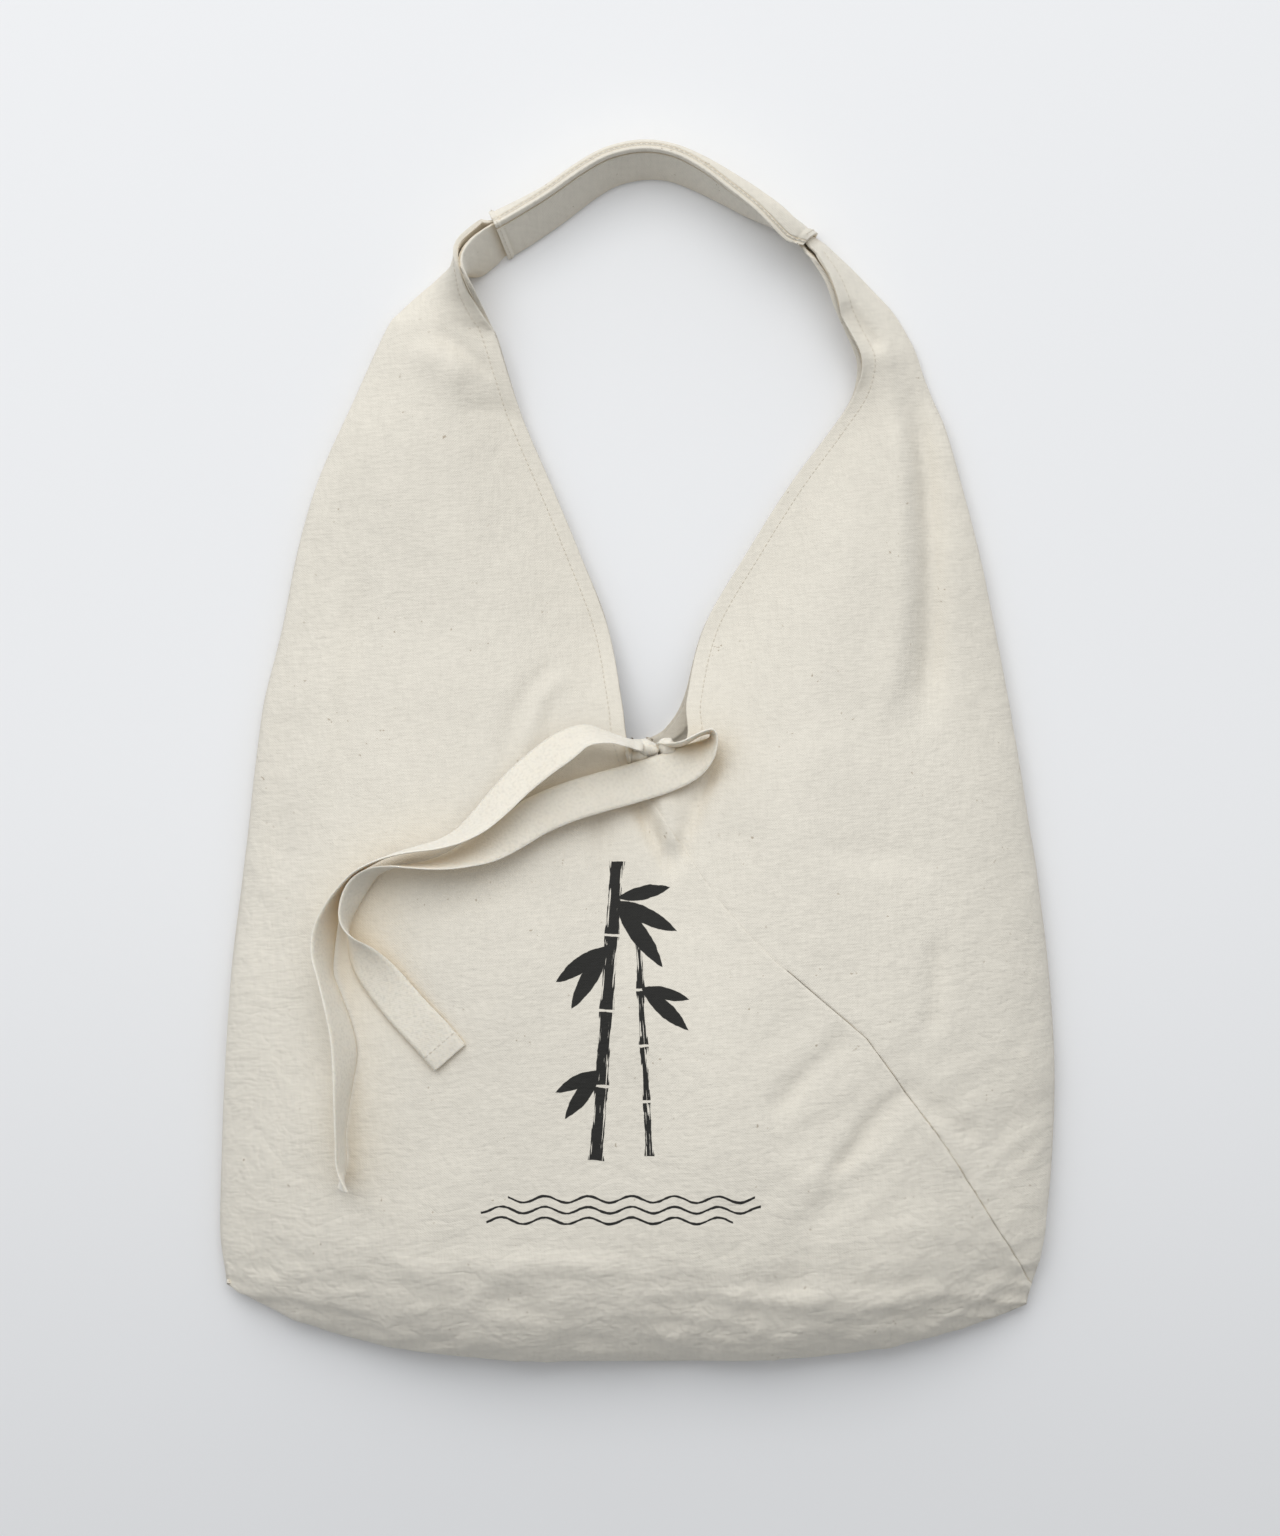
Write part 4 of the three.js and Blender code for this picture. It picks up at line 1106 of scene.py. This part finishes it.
def wall_group(thing, plain, thick):
    """Weights for the wall's thickness: one layer of canvas, and the full weight on the hems."""
    mesh = thing.data
    count = len(mesh.vertices)
    reach = attribute_values(mesh, "from_edge", count)
    hemmed = attribute_values(mesh, "hemmed", count)
    at_hem = smooth((HEM_WIDTH + HEM_STEP / 2 - reach) / HEM_STEP) * hemmed
    share = (plain + (thick - plain) * at_hem) / thick
    group = thing.vertex_groups.new(name="wall")
    for level in range(WALL_LEVELS + 1):
        members = np.flatnonzero(np.round(share * WALL_LEVELS) == level)
        if len(members):
            group.add(members.tolist(), level / WALL_LEVELS, "REPLACE")


def smooth_shaded(mesh):
    mesh.polygons.foreach_set("use_smooth", [True] * len(mesh.polygons))
    mesh.update()


def dress(thing, body_node):
    """Hangs a piece under the root body and hides the solid that it stands for."""
    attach(thing, "root")
    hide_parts(body_node)


def find(name):
    thing = bpy.data.objects.get(name)
    if thing is None:
        raise RuntimeError(name + " isn't made yet: run its operator first")
    return thing


def height_finder(names):
    """A function that gives the height of the highest of the named pieces at a place."""
    graph = bpy.context.evaluated_depsgraph_get()
    trees = [BVHTree.FromObject(find(name), graph) for name in names]
    down = Vector((0, 0, -1))

    def height_at(x, y):
        found = [tree.ray_cast(Vector((x, y, 1)), down)[0] for tree in trees]
        return max([hit.z for hit in found if hit], default=0)

    return height_at


Station = namedtuple("Station", "at aside along")
TAPE_SPOTS = np.linspace(-1, 1, 9)


def lay_route(route, width, stations, height_at, reach):
    """Stations of a tape laid along a route over what lies under it."""
    rows = len(route["x"])
    at = np.linspace(0, rows - 1, stations + 1)
    shift = cloth_shift()
    x = between(route["x"], at) * BAG_WIDTH + shift.x
    y = between(route["up"], at) * BAG_LENGTH + shift.y
    tilt = np.radians(between(route["tilt"], at))
    lift = between(route["lift"], at) * width
    run = np.stack([np.gradient(x), np.gradient(y)], axis=1)
    run /= np.linalg.norm(run, axis=1)[:, None]
    aside = np.stack([run[:, 1] * np.cos(tilt), -run[:, 0] * np.cos(tilt), np.sin(tilt)], axis=1)
    spots = TAPE_SPOTS[:, None] * width / 2 * aside[:, None]
    rest = np.array(
        [
            max(height_at(px + dx, py + dy) - dz for dx, dy, dz in across)
            for px, py, across in zip(x, y, spots)
        ]
    )
    near = [rest[max(i - reach, 0) : i + reach + 1] for i in range(len(at))]
    crest = np.array([part.max() for part in near])
    eased = np.array([crest[max(i - reach, 0) : i + reach + 1].mean() for i in range(len(at))])
    z = eased + TAPE_THICKNESS / 2 + TAPE_CLEARANCE + lift
    middle = np.stack([x, y, z], axis=1)
    along = np.gradient(middle, axis=0)
    along /= np.linalg.norm(along, axis=1)[:, None]
    return [Station(*row) for row in zip(middle, aside, along)]


def cloth_shift():
    """The frame's place against the tables' own, kept on the panel when it is made."""
    return Vector(find("left_panel_cloth")["table_shift"])


TAPE_COLUMNS = 13


def tape_mesh(name, stations, width, thickness, shape):
    """A closed tape over its stations. shape gives each spot's own lift and thickness."""
    columns = TAPE_COLUMNS
    spots = np.linspace(-1, 1, columns)
    points, uvs, run = [], [], 0
    for i, station in enumerate(stations):
        if i:
            run += float(np.linalg.norm(station.at - stations[i - 1].at))
        face = np.cross(station.aside, station.along)
        face /= np.linalg.norm(face)
        for up, order in ((1, spots), (-1, spots[::-1])):
            for k in order:
                lift, share = shape(run, k)
                off = face * (lift + up * thickness / 2 * share)
                points.append(station.at + station.aside * k * width / 2 + off)
                uvs.append((k * width / 2, run))
    ring = 2 * columns
    rows = len(stations)
    faces = grid_faces(rows, ring, ring=True)
    for start, flip in ((0, True), ((rows - 1) * ring, False)):
        for i in range(columns - 1):
            far = ring - 1 - i
            cap = (start + i, start + i + 1, start + far - 1, start + far)
            faces.append(cap[::-1] if flip else cap)
    mesh = bpy.data.meshes.new(name)
    mesh.from_pydata([tuple(p) for p in points], [], faces)
    layer = mesh.uv_layers.new(name="UVMap")
    for loop in mesh.loops:
        layer.data[loop.index].uv = uvs[loop.vertex_index]
    bm = bmesh.new()
    bm.from_mesh(mesh)
    bmesh.ops.recalc_face_normals(bm, faces=bm.faces)
    bm.to_mesh(mesh)
    bm.free()
    return mesh


def stitch_tree():
    """A node tree that sews a row of stitches along an edge-only path."""
    old = bpy.data.node_groups.get("Stitch row")
    if old:
        return old
    tree = bpy.data.node_groups.new("Stitch row", "GeometryNodeTree")
    face = tree.interface
    face.new_socket("Path", in_out="INPUT", socket_type="NodeSocketGeometry")
    for name in ("Pitch", "Length", "Thickness"):
        face.new_socket(name, in_out="INPUT", socket_type="NodeSocketFloat")
    face.new_socket("Thread", in_out="INPUT", socket_type="NodeSocketMaterial")
    face.new_socket("Stitches", in_out="OUTPUT", socket_type="NodeSocketGeometry")

    def node(kind, settings=None, links=None, values=None):
        made = tree.nodes.new(kind)
        for name, value in (settings or {}).items():
            setattr(made, name, value)
        for key, value in (values or {}).items():
            made.inputs[key].default_value = value
        for key, socket in (links or {}).items():
            tree.links.new(socket, made.inputs[key])
        return made

    start = node("NodeGroupInput")
    curve = node("GeometryNodeMeshToCurve", links={0: start.outputs["Path"]})
    points = node(
        "GeometryNodeCurveToPoints",
        {"mode": "LENGTH"},
        {"Curve": curve.outputs[0], "Length": start.outputs["Pitch"]},
    )
    bead = node("GeometryNodeMeshUVSphere", values={"Segments": 6, "Rings": 4, "Radius": 0.5})
    turn = node("FunctionNodeAlignRotationToVector", {"axis": "Z"}, {"Vector": points.outputs["Tangent"]})
    size = node(
        "ShaderNodeCombineXYZ",
        links={0: start.outputs["Thickness"], 1: start.outputs["Thickness"], 2: start.outputs["Length"]},
    )
    placed = node(
        "GeometryNodeInstanceOnPoints",
        links={
            "Points": points.outputs["Points"],
            "Instance": bead.outputs["Mesh"],
            "Rotation": turn.outputs[0],
            "Scale": size.outputs[0],
        },
    )
    real = node("GeometryNodeRealizeInstances", links={0: placed.outputs[0]})
    shaded = node(
        "GeometryNodeSetMaterial",
        links={"Geometry": real.outputs[0], "Material": start.outputs["Thread"]},
    )
    end = node("NodeGroupOutput")
    tree.links.new(shaded.outputs[0], end.inputs[0])
    return tree


def sew(name, paths, sizes, thread):
    """Stitches along paths, each a list of points, as one plain mesh."""
    points = [tuple(p) for path in paths for p in path]
    edges, start = [], 0
    for path in paths:
        edges += [(start + i, start + i + 1) for i in range(len(path) - 1)]
        start += len(path)
    mesh = bpy.data.meshes.new(name + "_path")
    mesh.from_pydata(points, edges, [])
    guide = add_object(name + "_guide", mesh)
    tree = stitch_tree()
    modifier = guide.modifiers.new("Stitch row", "NODES")
    modifier.node_group = tree
    values = {"Pitch": sizes.pitch, "Length": sizes.length, "Thickness": sizes.thickness, "Thread": thread}
    for item in tree.interface.items_tree:
        if item.in_out == "INPUT" and item.name in values:
            modifier[item.identifier] = values[item.name]
    graph = bpy.context.evaluated_depsgraph_get()
    plain = bpy.data.meshes.new_from_object(guide.evaluated_get(graph))
    bpy.data.objects.remove(guide, do_unlink=True)
    plain.name = name
    smooth_shaded(plain)
    stitches = add_object(name, plain)
    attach(stitches, "root")
    return stitches


def hem_line(side, lift):
    """The neckline hem's sewing line on one panel, from the neckline's foot up to the band."""
    mesh = find(side + "_panel_cloth").data
    sewn = attribute_values(mesh, "sewn", len(mesh.vertices))
    reach = attribute_values(mesh, "from_edge", len(mesh.vertices))
    columns = np.flatnonzero((sewn > 0.5) & (reach > HEM_WIDTH / 2))
    order = columns[np.argsort(sewn[columns])]
    line = [mesh.vertices[int(i)].co + mesh.vertices[int(i)].normal * lift for i in order]
    return line[:-3]


def ring_points(row_picks, column_picks, lift):
    """Points on the band's outside, at the rows and columns picked of its rings."""
    band = find("carrying_band_cloth")
    columns = band["ring_columns"]
    line = []
    for row, column in zip(*np.broadcast_arrays(row_picks, column_picks)):
        vertex = band.data.vertices[int(row * columns + column)]
        line.append(vertex.co + vertex.normal * lift)
    return line


def tape_line(name, from_end, lift):
    """A line across a tape's upper side, at a distance from its hemmed end."""
    mesh = find(name + "_cloth").data
    rows = len(mesh.vertices) // (2 * TAPE_COLUMNS)
    starts = [mesh.vertices[row * 2 * TAPE_COLUMNS + TAPE_COLUMNS // 2].co for row in range(rows)]
    gone, row = 0, rows - 1
    while gone < from_end:
        gone += (starts[row] - starts[row - 1]).length
        row -= 1
    first = row * 2 * TAPE_COLUMNS
    across = [mesh.vertices[first + i] for i in range(1, TAPE_COLUMNS - 1)]
    return [vertex.co + vertex.normal * lift for vertex in across]


class AzumaBagSizes(bpy.types.PropertyGroup):
    """Sizes of the cloth and the sewing."""

    canvas_wall: bpy.props.FloatProperty(
        name="Canvas Wall", description="One layer of canvas", default=0.0015, unit="LENGTH", precision=4
    )
    hem_wall: bpy.props.FloatProperty(
        name="Hem Wall", description="The turned-in hem", default=0.0024, unit="LENGTH", precision=4
    )
    pitch: bpy.props.FloatProperty(
        name="Stitch Pitch", description="Between two stitches", default=0.0027, unit="LENGTH", precision=4
    )
    length: bpy.props.FloatProperty(
        name="Stitch Length", description="One stitch", default=0.0020, unit="LENGTH", precision=4
    )
    thickness: bpy.props.FloatProperty(
        name="Thread Thickness", description="Across the thread", default=0.0005, unit="LENGTH", precision=5
    )


class AzumaBagColours(bpy.types.PropertyGroup):
    """Colours of the cloth, tapes, thread and floor."""

    canvas: bpy.props.FloatVectorProperty(
        name="Canvas", description="Unbleached canvas", default=(0.879, 0.861, 0.817), subtype="COLOR_GAMMA"
    )
    tape: bpy.props.FloatVectorProperty(
        name="Tape", description="Tie tapes", default=(0.885, 0.868, 0.825), subtype="COLOR_GAMMA"
    )
    thread: bpy.props.FloatVectorProperty(
        name="Thread", description="Sewing thread", default=(0.875, 0.85, 0.80), subtype="COLOR_GAMMA"
    )
    floor: bpy.props.FloatVectorProperty(
        name="Floor", description="Surface under the bag", default=(0.91, 0.917, 0.928), subtype="COLOR_GAMMA"
    )


class AzumaBagStage(bpy.types.PropertyGroup):
    """Camera and light."""

    camera_height: bpy.props.FloatProperty(
        name="Camera Height", description="Camera above the floor", default=1.5, unit="LENGTH"
    )
    frame_height: bpy.props.FloatProperty(
        name="Frame Height", description="Floor that the picture shows", default=0.7735, unit="LENGTH"
    )
    key_power: bpy.props.FloatProperty(name="Key Light", description="Power of the lamp", default=42.0)
    sky_strength: bpy.props.FloatProperty(name="Sky", description="Light from the window", default=0.91)
    dim_strength: bpy.props.FloatProperty(name="Dim Side", description="Light opposite it", default=0.21)


class AZUMABAG_OT_panels(bpy.types.Operator):
    """Lays the two canvas panels with their folds, seams and hems"""

    bl_idname = "azumabag.panels"
    bl_label = "Lay Canvas Panels"

    def execute(self, context):
        sizes = context.scene.azuma_bag_sizes
        colours = context.scene.azuma_bag_colours
        outside = canvas_material("canvas_front", colours.canvas, inked=True)
        # The inside is the same canvas with painted shade: its colour a little darker, as the inside lies in
        # shade
        inside = canvas_material("canvas_inside", colours.canvas, shade=0.96)
        cloth, front_route, back_route = make_cloth()
        shift = Vector(front_route[0]) - Vector((NECK_FOOT_X * BAG_WIDTH, NECK_FOOT_UP * BAG_LENGTH))
        crease_mesh(cloth, front_route)
        for side in ("left", "right"):
            mesh = split_panel(cloth, side, front_route, back_route)
            smooth_shaded(mesh)
            panel = add_object(side + "_panel_cloth", mesh)
            panel["table_shift"] = (shift.x, shift.y, 0.0)
            mesh.materials.append(outside)
            mesh.materials.append(inside)
            wall_group(panel, sizes.canvas_wall, sizes.hem_wall)
            wall = panel.modifiers.new("Wall", "SOLIDIFY")
            wall.thickness = sizes.hem_wall
            wall.offset = -1
            wall.vertex_group = "wall"
            wall.material_offset = 1
            dress(panel, side + "_panel")
        return {"FINISHED"}


# The band's mesh: rows at each mouth and between them, columns over its rolled lip and beyond it
MOUTH_ROWS = np.array([0, 0.02, 0.05, 0.1, 0.16, 0.24, 0.3, 0.34, 0.38, 0.46])
BETWEEN_FROM = 0.55
BETWEEN_ROWS = 170
BAND_LIP = 0.0032
LIP_COLUMNS = 20
BEYOND_LIP_COLUMNS = 22
# Across the band's open edge, from its inner corner: where its columns, two sunk lines and stitches are
RIM_SPOTS = np.array([0.3, 0.6, 0.9, 1.1, 1.3, 1.5, 1.8, 2.1, 2.4, 2.6, 2.8, 3.1, 3.6, 4.3]) * MM
RIM_REST = np.array([0.25, 0.5, 0.75])
RIM_LINES = (1.2 * MM, 2.6 * MM)
RIM_STITCH = 7
RIM_RISE = 0.0007
# How far the lip stands out on the band's outer and inner face, and the groove beside it
LIP_RISE = (0.0004, 0.0011)
LIP_GROOVE = 0.0012
LIP_GROOVE_WIDTH = 0.0005
# The hem at each mouth: its rise and its sewing line's groove
MOUTH_HEM = 0.0006
MOUTH_GROOVE = 0.0003


def ringed(front, back, shares):
    """Rings of points round each section: its front, its back and then across its open edge."""
    start, end = back[:, :1], front[:, :1]
    rim = start + (end - start) * shares[..., None]
    return np.concatenate([front, back[:, ::-1][:, 1:], rim], axis=1)


def band_relief(rings, at, shares, rim_shares):
    """The rolled lip along the band's open edge, its sunk lines, and the hems at its mouths."""
    out = rings[0] - rings[1]
    face_columns = 2 * len(shares) - 1
    out[:, face_columns:] = (out[:, :1] + out[:, face_columns - 1 : face_columns]) / 2
    out /= np.linalg.norm(out, axis=2)[..., None]
    across = np.concatenate([shares, shares[::-1][1:]]) * BAND_WIDTH
    inner_face = np.arange(len(across)) >= len(shares)
    lip = np.sqrt(np.maximum(0, 1 - ((across - BAND_LIP * 0.5) / (BAND_LIP * 0.55)) ** 2))
    groove = hump(across - BAND_LIP * 1.12, LIP_GROOVE_WIDTH)
    face_rise = np.where(inner_face, LIP_RISE[1] * lip - LIP_GROOVE * groove, LIP_RISE[0] * lip)
    face_rise = np.broadcast_to(face_rise, (len(at), len(face_rise)))
    rim_width = np.linalg.norm(rings[0][:, 0] - rings[0][:, face_columns - 1], axis=1)[:, None]
    from_corner = rim_shares * rim_width
    rim_rise = RIM_RISE * np.sqrt(np.maximum(0, 1 - (2 * rim_shares - 1) ** 2))
    for line in RIM_LINES:
        rim_rise = rim_rise - RIM_RISE * hump(from_corner - line, 0.00032)
    from_mouth = np.minimum(at - LEFT_MOUTH, RIGHT_MOUTH - at)
    mouth_hem = MOUTH_HEM * smooth((0.3 - from_mouth) / 0.05) - MOUTH_GROOVE * hump(from_mouth - 0.33, 0.04)
    return out * (np.concatenate([face_rise, rim_rise], axis=1) + mouth_hem[:, None])[..., None]


class AZUMABAG_OT_band(bpy.types.Operator):
    """Folds the carrying band over the ear tips"""

    bl_idname = "azumabag.band"
    bl_label = "Fold Carrying Band"

    def execute(self, context):
        colours = context.scene.azuma_bag_colours
        shift = np.array(cloth_shift())
        middle = np.linspace(LEFT_MOUTH + BETWEEN_FROM, RIGHT_MOUTH - BETWEEN_FROM, BETWEEN_ROWS)
        at = np.concatenate([LEFT_MOUTH + MOUTH_ROWS, middle, RIGHT_MOUTH - MOUTH_ROWS[::-1]])
        lip = np.linspace(0, BAND_LIP * 1.9, LIP_COLUMNS) / BAND_WIDTH
        rest = lip[-1] + (1 - lip[-1]) * (1 - (1 - np.linspace(0, 1, BEYOND_LIP_COLUMNS)) ** 1.4)
        shares = np.concatenate([lip, rest[1:]])
        v = np.broadcast_to(shares, (len(at), len(shares)))
        faces = [[ear_points(at, v, front, inset) for front in (True, False)] for inset in (0, BAND_WALL)]
        lowest = np.minimum(*[face[..., 2].min(axis=1) for face in faces[0]])
        rim_width = np.linalg.norm(faces[0][0][:, 0] - faces[0][1][:, 0], axis=1)[:, None]
        near = RIM_SPOTS / rim_width
        left_over = near[:, -1:] + (1 - near[:, -1:]) * RIM_REST
        rim_shares = np.concatenate([near, left_over], axis=1)
        rings = [ringed(front, back, rim_shares) + shift for front, back in faces]
        for ring in rings:
            ring[..., 2] -= lowest[:, None]
        rings[0] += band_relief(rings, at, shares, rim_shares)
        rings[0][..., 2] = np.maximum(rings[0][..., 2], 0)
        rows, columns = rings[0].shape[:2]
        count = rows * columns
        faces = grid_faces(rows, columns, 0, flip=True, ring=True)
        faces += grid_faces(rows, columns, count, ring=True)
        for row, flip in ((0, False), (rows - 1, True)):
            for i in range(columns):
                n = (i + 1) % columns
                outer, inner = row * columns, count + row * columns
                rim = (outer + i, outer + n, inner + n, inner + i)
                faces.append(rim[::-1] if flip else rim)
        mesh = bpy.data.meshes.new("carrying_band_cloth")
        mesh.from_pydata(np.concatenate([ring.reshape(-1, 3) for ring in rings]).tolist(), [], faces)
        bm = bmesh.new()
        bm.from_mesh(mesh)
        bmesh.ops.recalc_face_normals(bm, faces=bm.faces)
        bm.to_mesh(mesh)
        bm.free()
        smooth_shaded(mesh)
        band = add_object("carrying_band_cloth", mesh)
        band["ring_columns"] = columns
        band["ring_rows"] = rows
        mesh.materials.append(canvas_material("canvas_band", colours.canvas))
        dress(band, "carrying_band")
        return {"FINISHED"}


# A tape's stations, how many of them its rise over an edge is eased along, its end's hem and its ripples
TAPE_STATIONS = 336
TAPE_REACH = 8
TAPE_HEM = 0.009
TAPE_HEM_MORE = 0.8
TAPE_GROOVE = 0.00006
TAPE_GROOVE_AT = 0.8
TAPE_RIPPLE = 0.00018


def plain_tape_shape(total):
    """A tape with sewn edges and a folded hem at its end."""

    def shape(run, k):
        edge = max(0.0, 1 - abs(k) ** 8) ** 0.5 * 0.75 + 0.25
        groove = TAPE_GROOVE * hump(abs(k) - TAPE_GROOVE_AT, 0.06)
        hem = 1 + TAPE_HEM_MORE * float(smooth((run - total + TAPE_HEM) / HEM_STEP))
        ripple = TAPE_RIPPLE * noise.noise(Vector((run * 60, k * 0.6, 4.2)))
        return ripple - groove, edge * hem

    return shape


# How far a knot's turn bends over each side, in how many stations, and how it narrows on its way
KNOT_BEND = math.radians(150)
KNOT_STATIONS = 41
KNOT_NARROWS = 0.28


def knot_stations(turn, top):
    """Stations of a short strip of tape that bends over the knot and down on both its sides."""
    heading = math.radians(turn.heading)
    along = np.array([math.cos(heading), math.sin(heading), 0])
    aside = np.array([along[1], -along[0], 0])
    stations = []
    for bend in np.linspace(-KNOT_BEND, KNOT_BEND, KNOT_STATIONS):
        reach, fall = turn.half * math.sin(bend), turn.drop * (1 - math.cos(bend))
        at = (np.array([turn.x, turn.y, 0.0]) + along * reach) * MM
        at[2] = top + TAPE_THICKNESS - (fall + turn.sink) * MM
        way = along * turn.half * math.cos(bend) - np.array([0, 0, turn.drop * math.sin(bend)])
        width = aside * (1 - KNOT_NARROWS * (1 - math.cos(bend)))
        stations.append(Station(at, width, way / np.linalg.norm(way)))
    return stations


PLEAT_HEIGHT = 0.0005
PLEAT_EDGE_DROP = 0.0011
PLEAT_THICKER = 1.3


def pleated(run, k):
    """A tape drawn together into soft pleats, rounded down at its edges."""
    edge = max(0.0, 1 - abs(k) ** 4) ** 0.5 * 0.8 + 0.2
    pleat = PLEAT_HEIGHT * math.sin(k * 5 + run * 90) * (1 - k * k)
    return pleat - PLEAT_EDGE_DROP * k**4, edge * PLEAT_THICKER


class AZUMABAG_OT_tapes(bpy.types.Operator):
    """Lays the two tie tapes and their half knot over the panels"""

    bl_idname = "azumabag.tapes"
    bl_label = "Lay Tie Tapes"

    def execute(self, context):
        colours = context.scene.azuma_bag_colours
        material = tape_material("tape_twill", colours.tape)
        panels = ["left_panel_cloth", "right_panel_cloth"]
        over_panels = height_finder(panels)
        for name, route in (("lower_tape", LOWER_TAPE), ("upper_tape", UPPER_TAPE)):
            stations = lay_route(route, TAPE_WIDTH, TAPE_STATIONS, over_panels, TAPE_REACH)
            total = sum(np.linalg.norm(b.at - a.at) for a, b in zip(stations, stations[1:]))
            mesh = tape_mesh(name + "_cloth", stations, TAPE_WIDTH, TAPE_THICKNESS, plain_tape_shape(total))
            smooth_shaded(mesh)
            mesh.materials.append(material)
            tape = add_object(name + "_cloth", mesh)
            dress(tape, name)
        height_at = height_finder([*panels, "lower_tape_cloth", "upper_tape_cloth"])
        spots = [(turn.x * MM, (turn.y + step) * MM) for turn in KNOT_TURNS[:2] for step in (-3, 0, 3)]
        top = max(height_at(x, y) for x, y in spots)
        mesh = bpy.data.meshes.new("half_knot_cloth")
        bm = bmesh.new()
        for turn in KNOT_TURNS:
            strip = tape_mesh("turn", knot_stations(turn, top), turn.width * MM, TAPE_THICKNESS, pleated)
            bm.from_mesh(strip)
            bpy.data.meshes.remove(strip)
        bm.to_mesh(mesh)
        bm.free()
        smooth_shaded(mesh)
        mesh.materials.append(material)
        dress(add_object("half_knot_cloth", mesh), "half_knot")
        return {"FINISHED"}


# How far the thread's middle stands off the cloth in thread widths, the band's row of stitches from each
# mouth, and the tapes' from each end
THREAD_LIFT = 0.15
MOUTH_STITCH_ROW = 4
TAPE_STITCHES_AT = 0.0075


class AZUMABAG_OT_stitches(bpy.types.Operator):
    """Sews the hems, the band's edge and the tape ends"""

    bl_idname = "azumabag.stitches"
    bl_label = "Sew Stitches"

    def execute(self, context):
        sizes = context.scene.azuma_bag_sizes
        thread = thread_material("sewing_thread", context.scene.azuma_bag_colours.thread)
        lift = sizes.thickness * THREAD_LIFT
        band = find("carrying_band_cloth")
        columns, rows = band["ring_columns"], band["ring_rows"]
        face_columns = columns - len(RIM_SPOTS) - len(RIM_REST)
        band_lines = [ring_points(np.arange(2, rows - 2), face_columns + RIM_STITCH, lift)]
        for row in (MOUTH_STITCH_ROW, rows - 1 - MOUTH_STITCH_ROW):
            band_lines.append(ring_points(row, np.arange(face_columns), lift))
        sew("band_stitches", band_lines, sizes, thread)
        hem_lines = [hem_line(side, lift) for side in ("left", "right")]
        sew("neckline_stitches", hem_lines, sizes, thread)
        tape_lines = [tape_line(name, TAPE_STITCHES_AT, lift) for name in ("lower_tape", "upper_tape")]
        sew("tape_stitches", tape_lines, sizes, thread)
        return {"FINISHED"}


FLOOR_SIZE = 8
FLOOR_DROP = 0.0004
LAMP_SIZE = (3.0, 2.0)
LAMP_AT = (-0.4, 1.6, 2.2)
LAMP_COLOUR = (1.0, 0.985, 0.96)
CAMERA_OVER = (0.0014, -0.0070)
SENSOR_HEIGHT = 24


class AZUMABAG_OT_stage(bpy.types.Operator):
    """Sets the floor, the soft daylight and the camera straight overhead"""

    bl_idname = "azumabag.stage"
    bl_label = "Set Stage"

    def execute(self, context):
        scene = context.scene
        stage = scene.azuma_bag_stage
        bpy.ops.mesh.primitive_plane_add(size=FLOOR_SIZE, location=(0, 0, -FLOOR_DROP))
        floor = context.object
        floor.name = "floor"
        floor.data.materials.append(floor_material("pale_floor", scene.azuma_bag_colours.floor))
        scene.world = scene.world or bpy.data.worlds.new("Sky")
        light_sky(scene.world, stage)
        key = bpy.data.lights.new("window", "AREA")
        key.shape = "RECTANGLE"
        key.size, key.size_y = LAMP_SIZE
        key.energy = stage.key_power
        key.color = LAMP_COLOUR
        lamp = bpy.data.objects.new("window", key)
        scene.collection.objects.link(lamp)
        lamp.location = LAMP_AT
        lamp.rotation_euler = (-lamp.location).to_track_quat("-Z", "Y").to_euler()
        lens = bpy.data.cameras.new("camera")
        lens.sensor_fit = "VERTICAL"
        lens.sensor_height = SENSOR_HEIGHT
        half = stage.frame_height / 2 / stage.camera_height
        lens.lens = lens.sensor_height / 2 / half
        lens.clip_start = 0.05
        lens.clip_end = 20
        camera = bpy.data.objects.new("camera", lens)
        scene.collection.objects.link(camera)
        camera.location = (*CAMERA_OVER, stage.camera_height)
        scene.camera = camera
        scene.view_settings.view_transform = "Standard"
        return {"FINISHED"}


class AZUMABAG_PT_panel(bpy.types.Panel):
    """Lists the bag's pieces and their sizes"""

    bl_idname = "AZUMABAG_PT_panel"
    bl_label = "Azuma Bag"
    bl_space_type = "VIEW_3D"
    bl_region_type = "UI"
    bl_category = "Azuma Bag"

    def draw(self, context):
        layout = self.layout
        for group in (
            context.scene.azuma_bag_sizes,
            context.scene.azuma_bag_colours,
            context.scene.azuma_bag_stage,
        ):
            box = layout.box()
            for name in group.__annotations__:
                box.prop(group, name)
        for operator in OPERATORS:
            layout.operator(operator.bl_idname)


OPERATORS = [
    AZUMABAG_OT_panels,
    AZUMABAG_OT_band,
    AZUMABAG_OT_tapes,
    AZUMABAG_OT_stitches,
    AZUMABAG_OT_stage,
]
GROUPS = {
    "azuma_bag_sizes": AzumaBagSizes,
    "azuma_bag_colours": AzumaBagColours,
    "azuma_bag_stage": AzumaBagStage,
}


def register():
    for name, group in GROUPS.items():
        bpy.utils.register_class(group)
        setattr(bpy.types.Scene, name, bpy.props.PointerProperty(type=group))
    for kind in (*OPERATORS, AZUMABAG_PT_panel):
        bpy.utils.register_class(kind)


def unregister():
    for kind in (AZUMABAG_PT_panel, *reversed(OPERATORS)):
        bpy.utils.unregister_class(kind)
    for name, group in reversed(GROUPS.items()):
        delattr(bpy.types.Scene, name)
        bpy.utils.unregister_class(group)


def main():
    register()
    bpy.ops.azumabag.panels()
    bpy.ops.azumabag.band()
    bpy.ops.azumabag.tapes()
    bpy.ops.azumabag.stitches()
    bpy.ops.azumabag.stage()


if __name__ == "__main__":
    main()
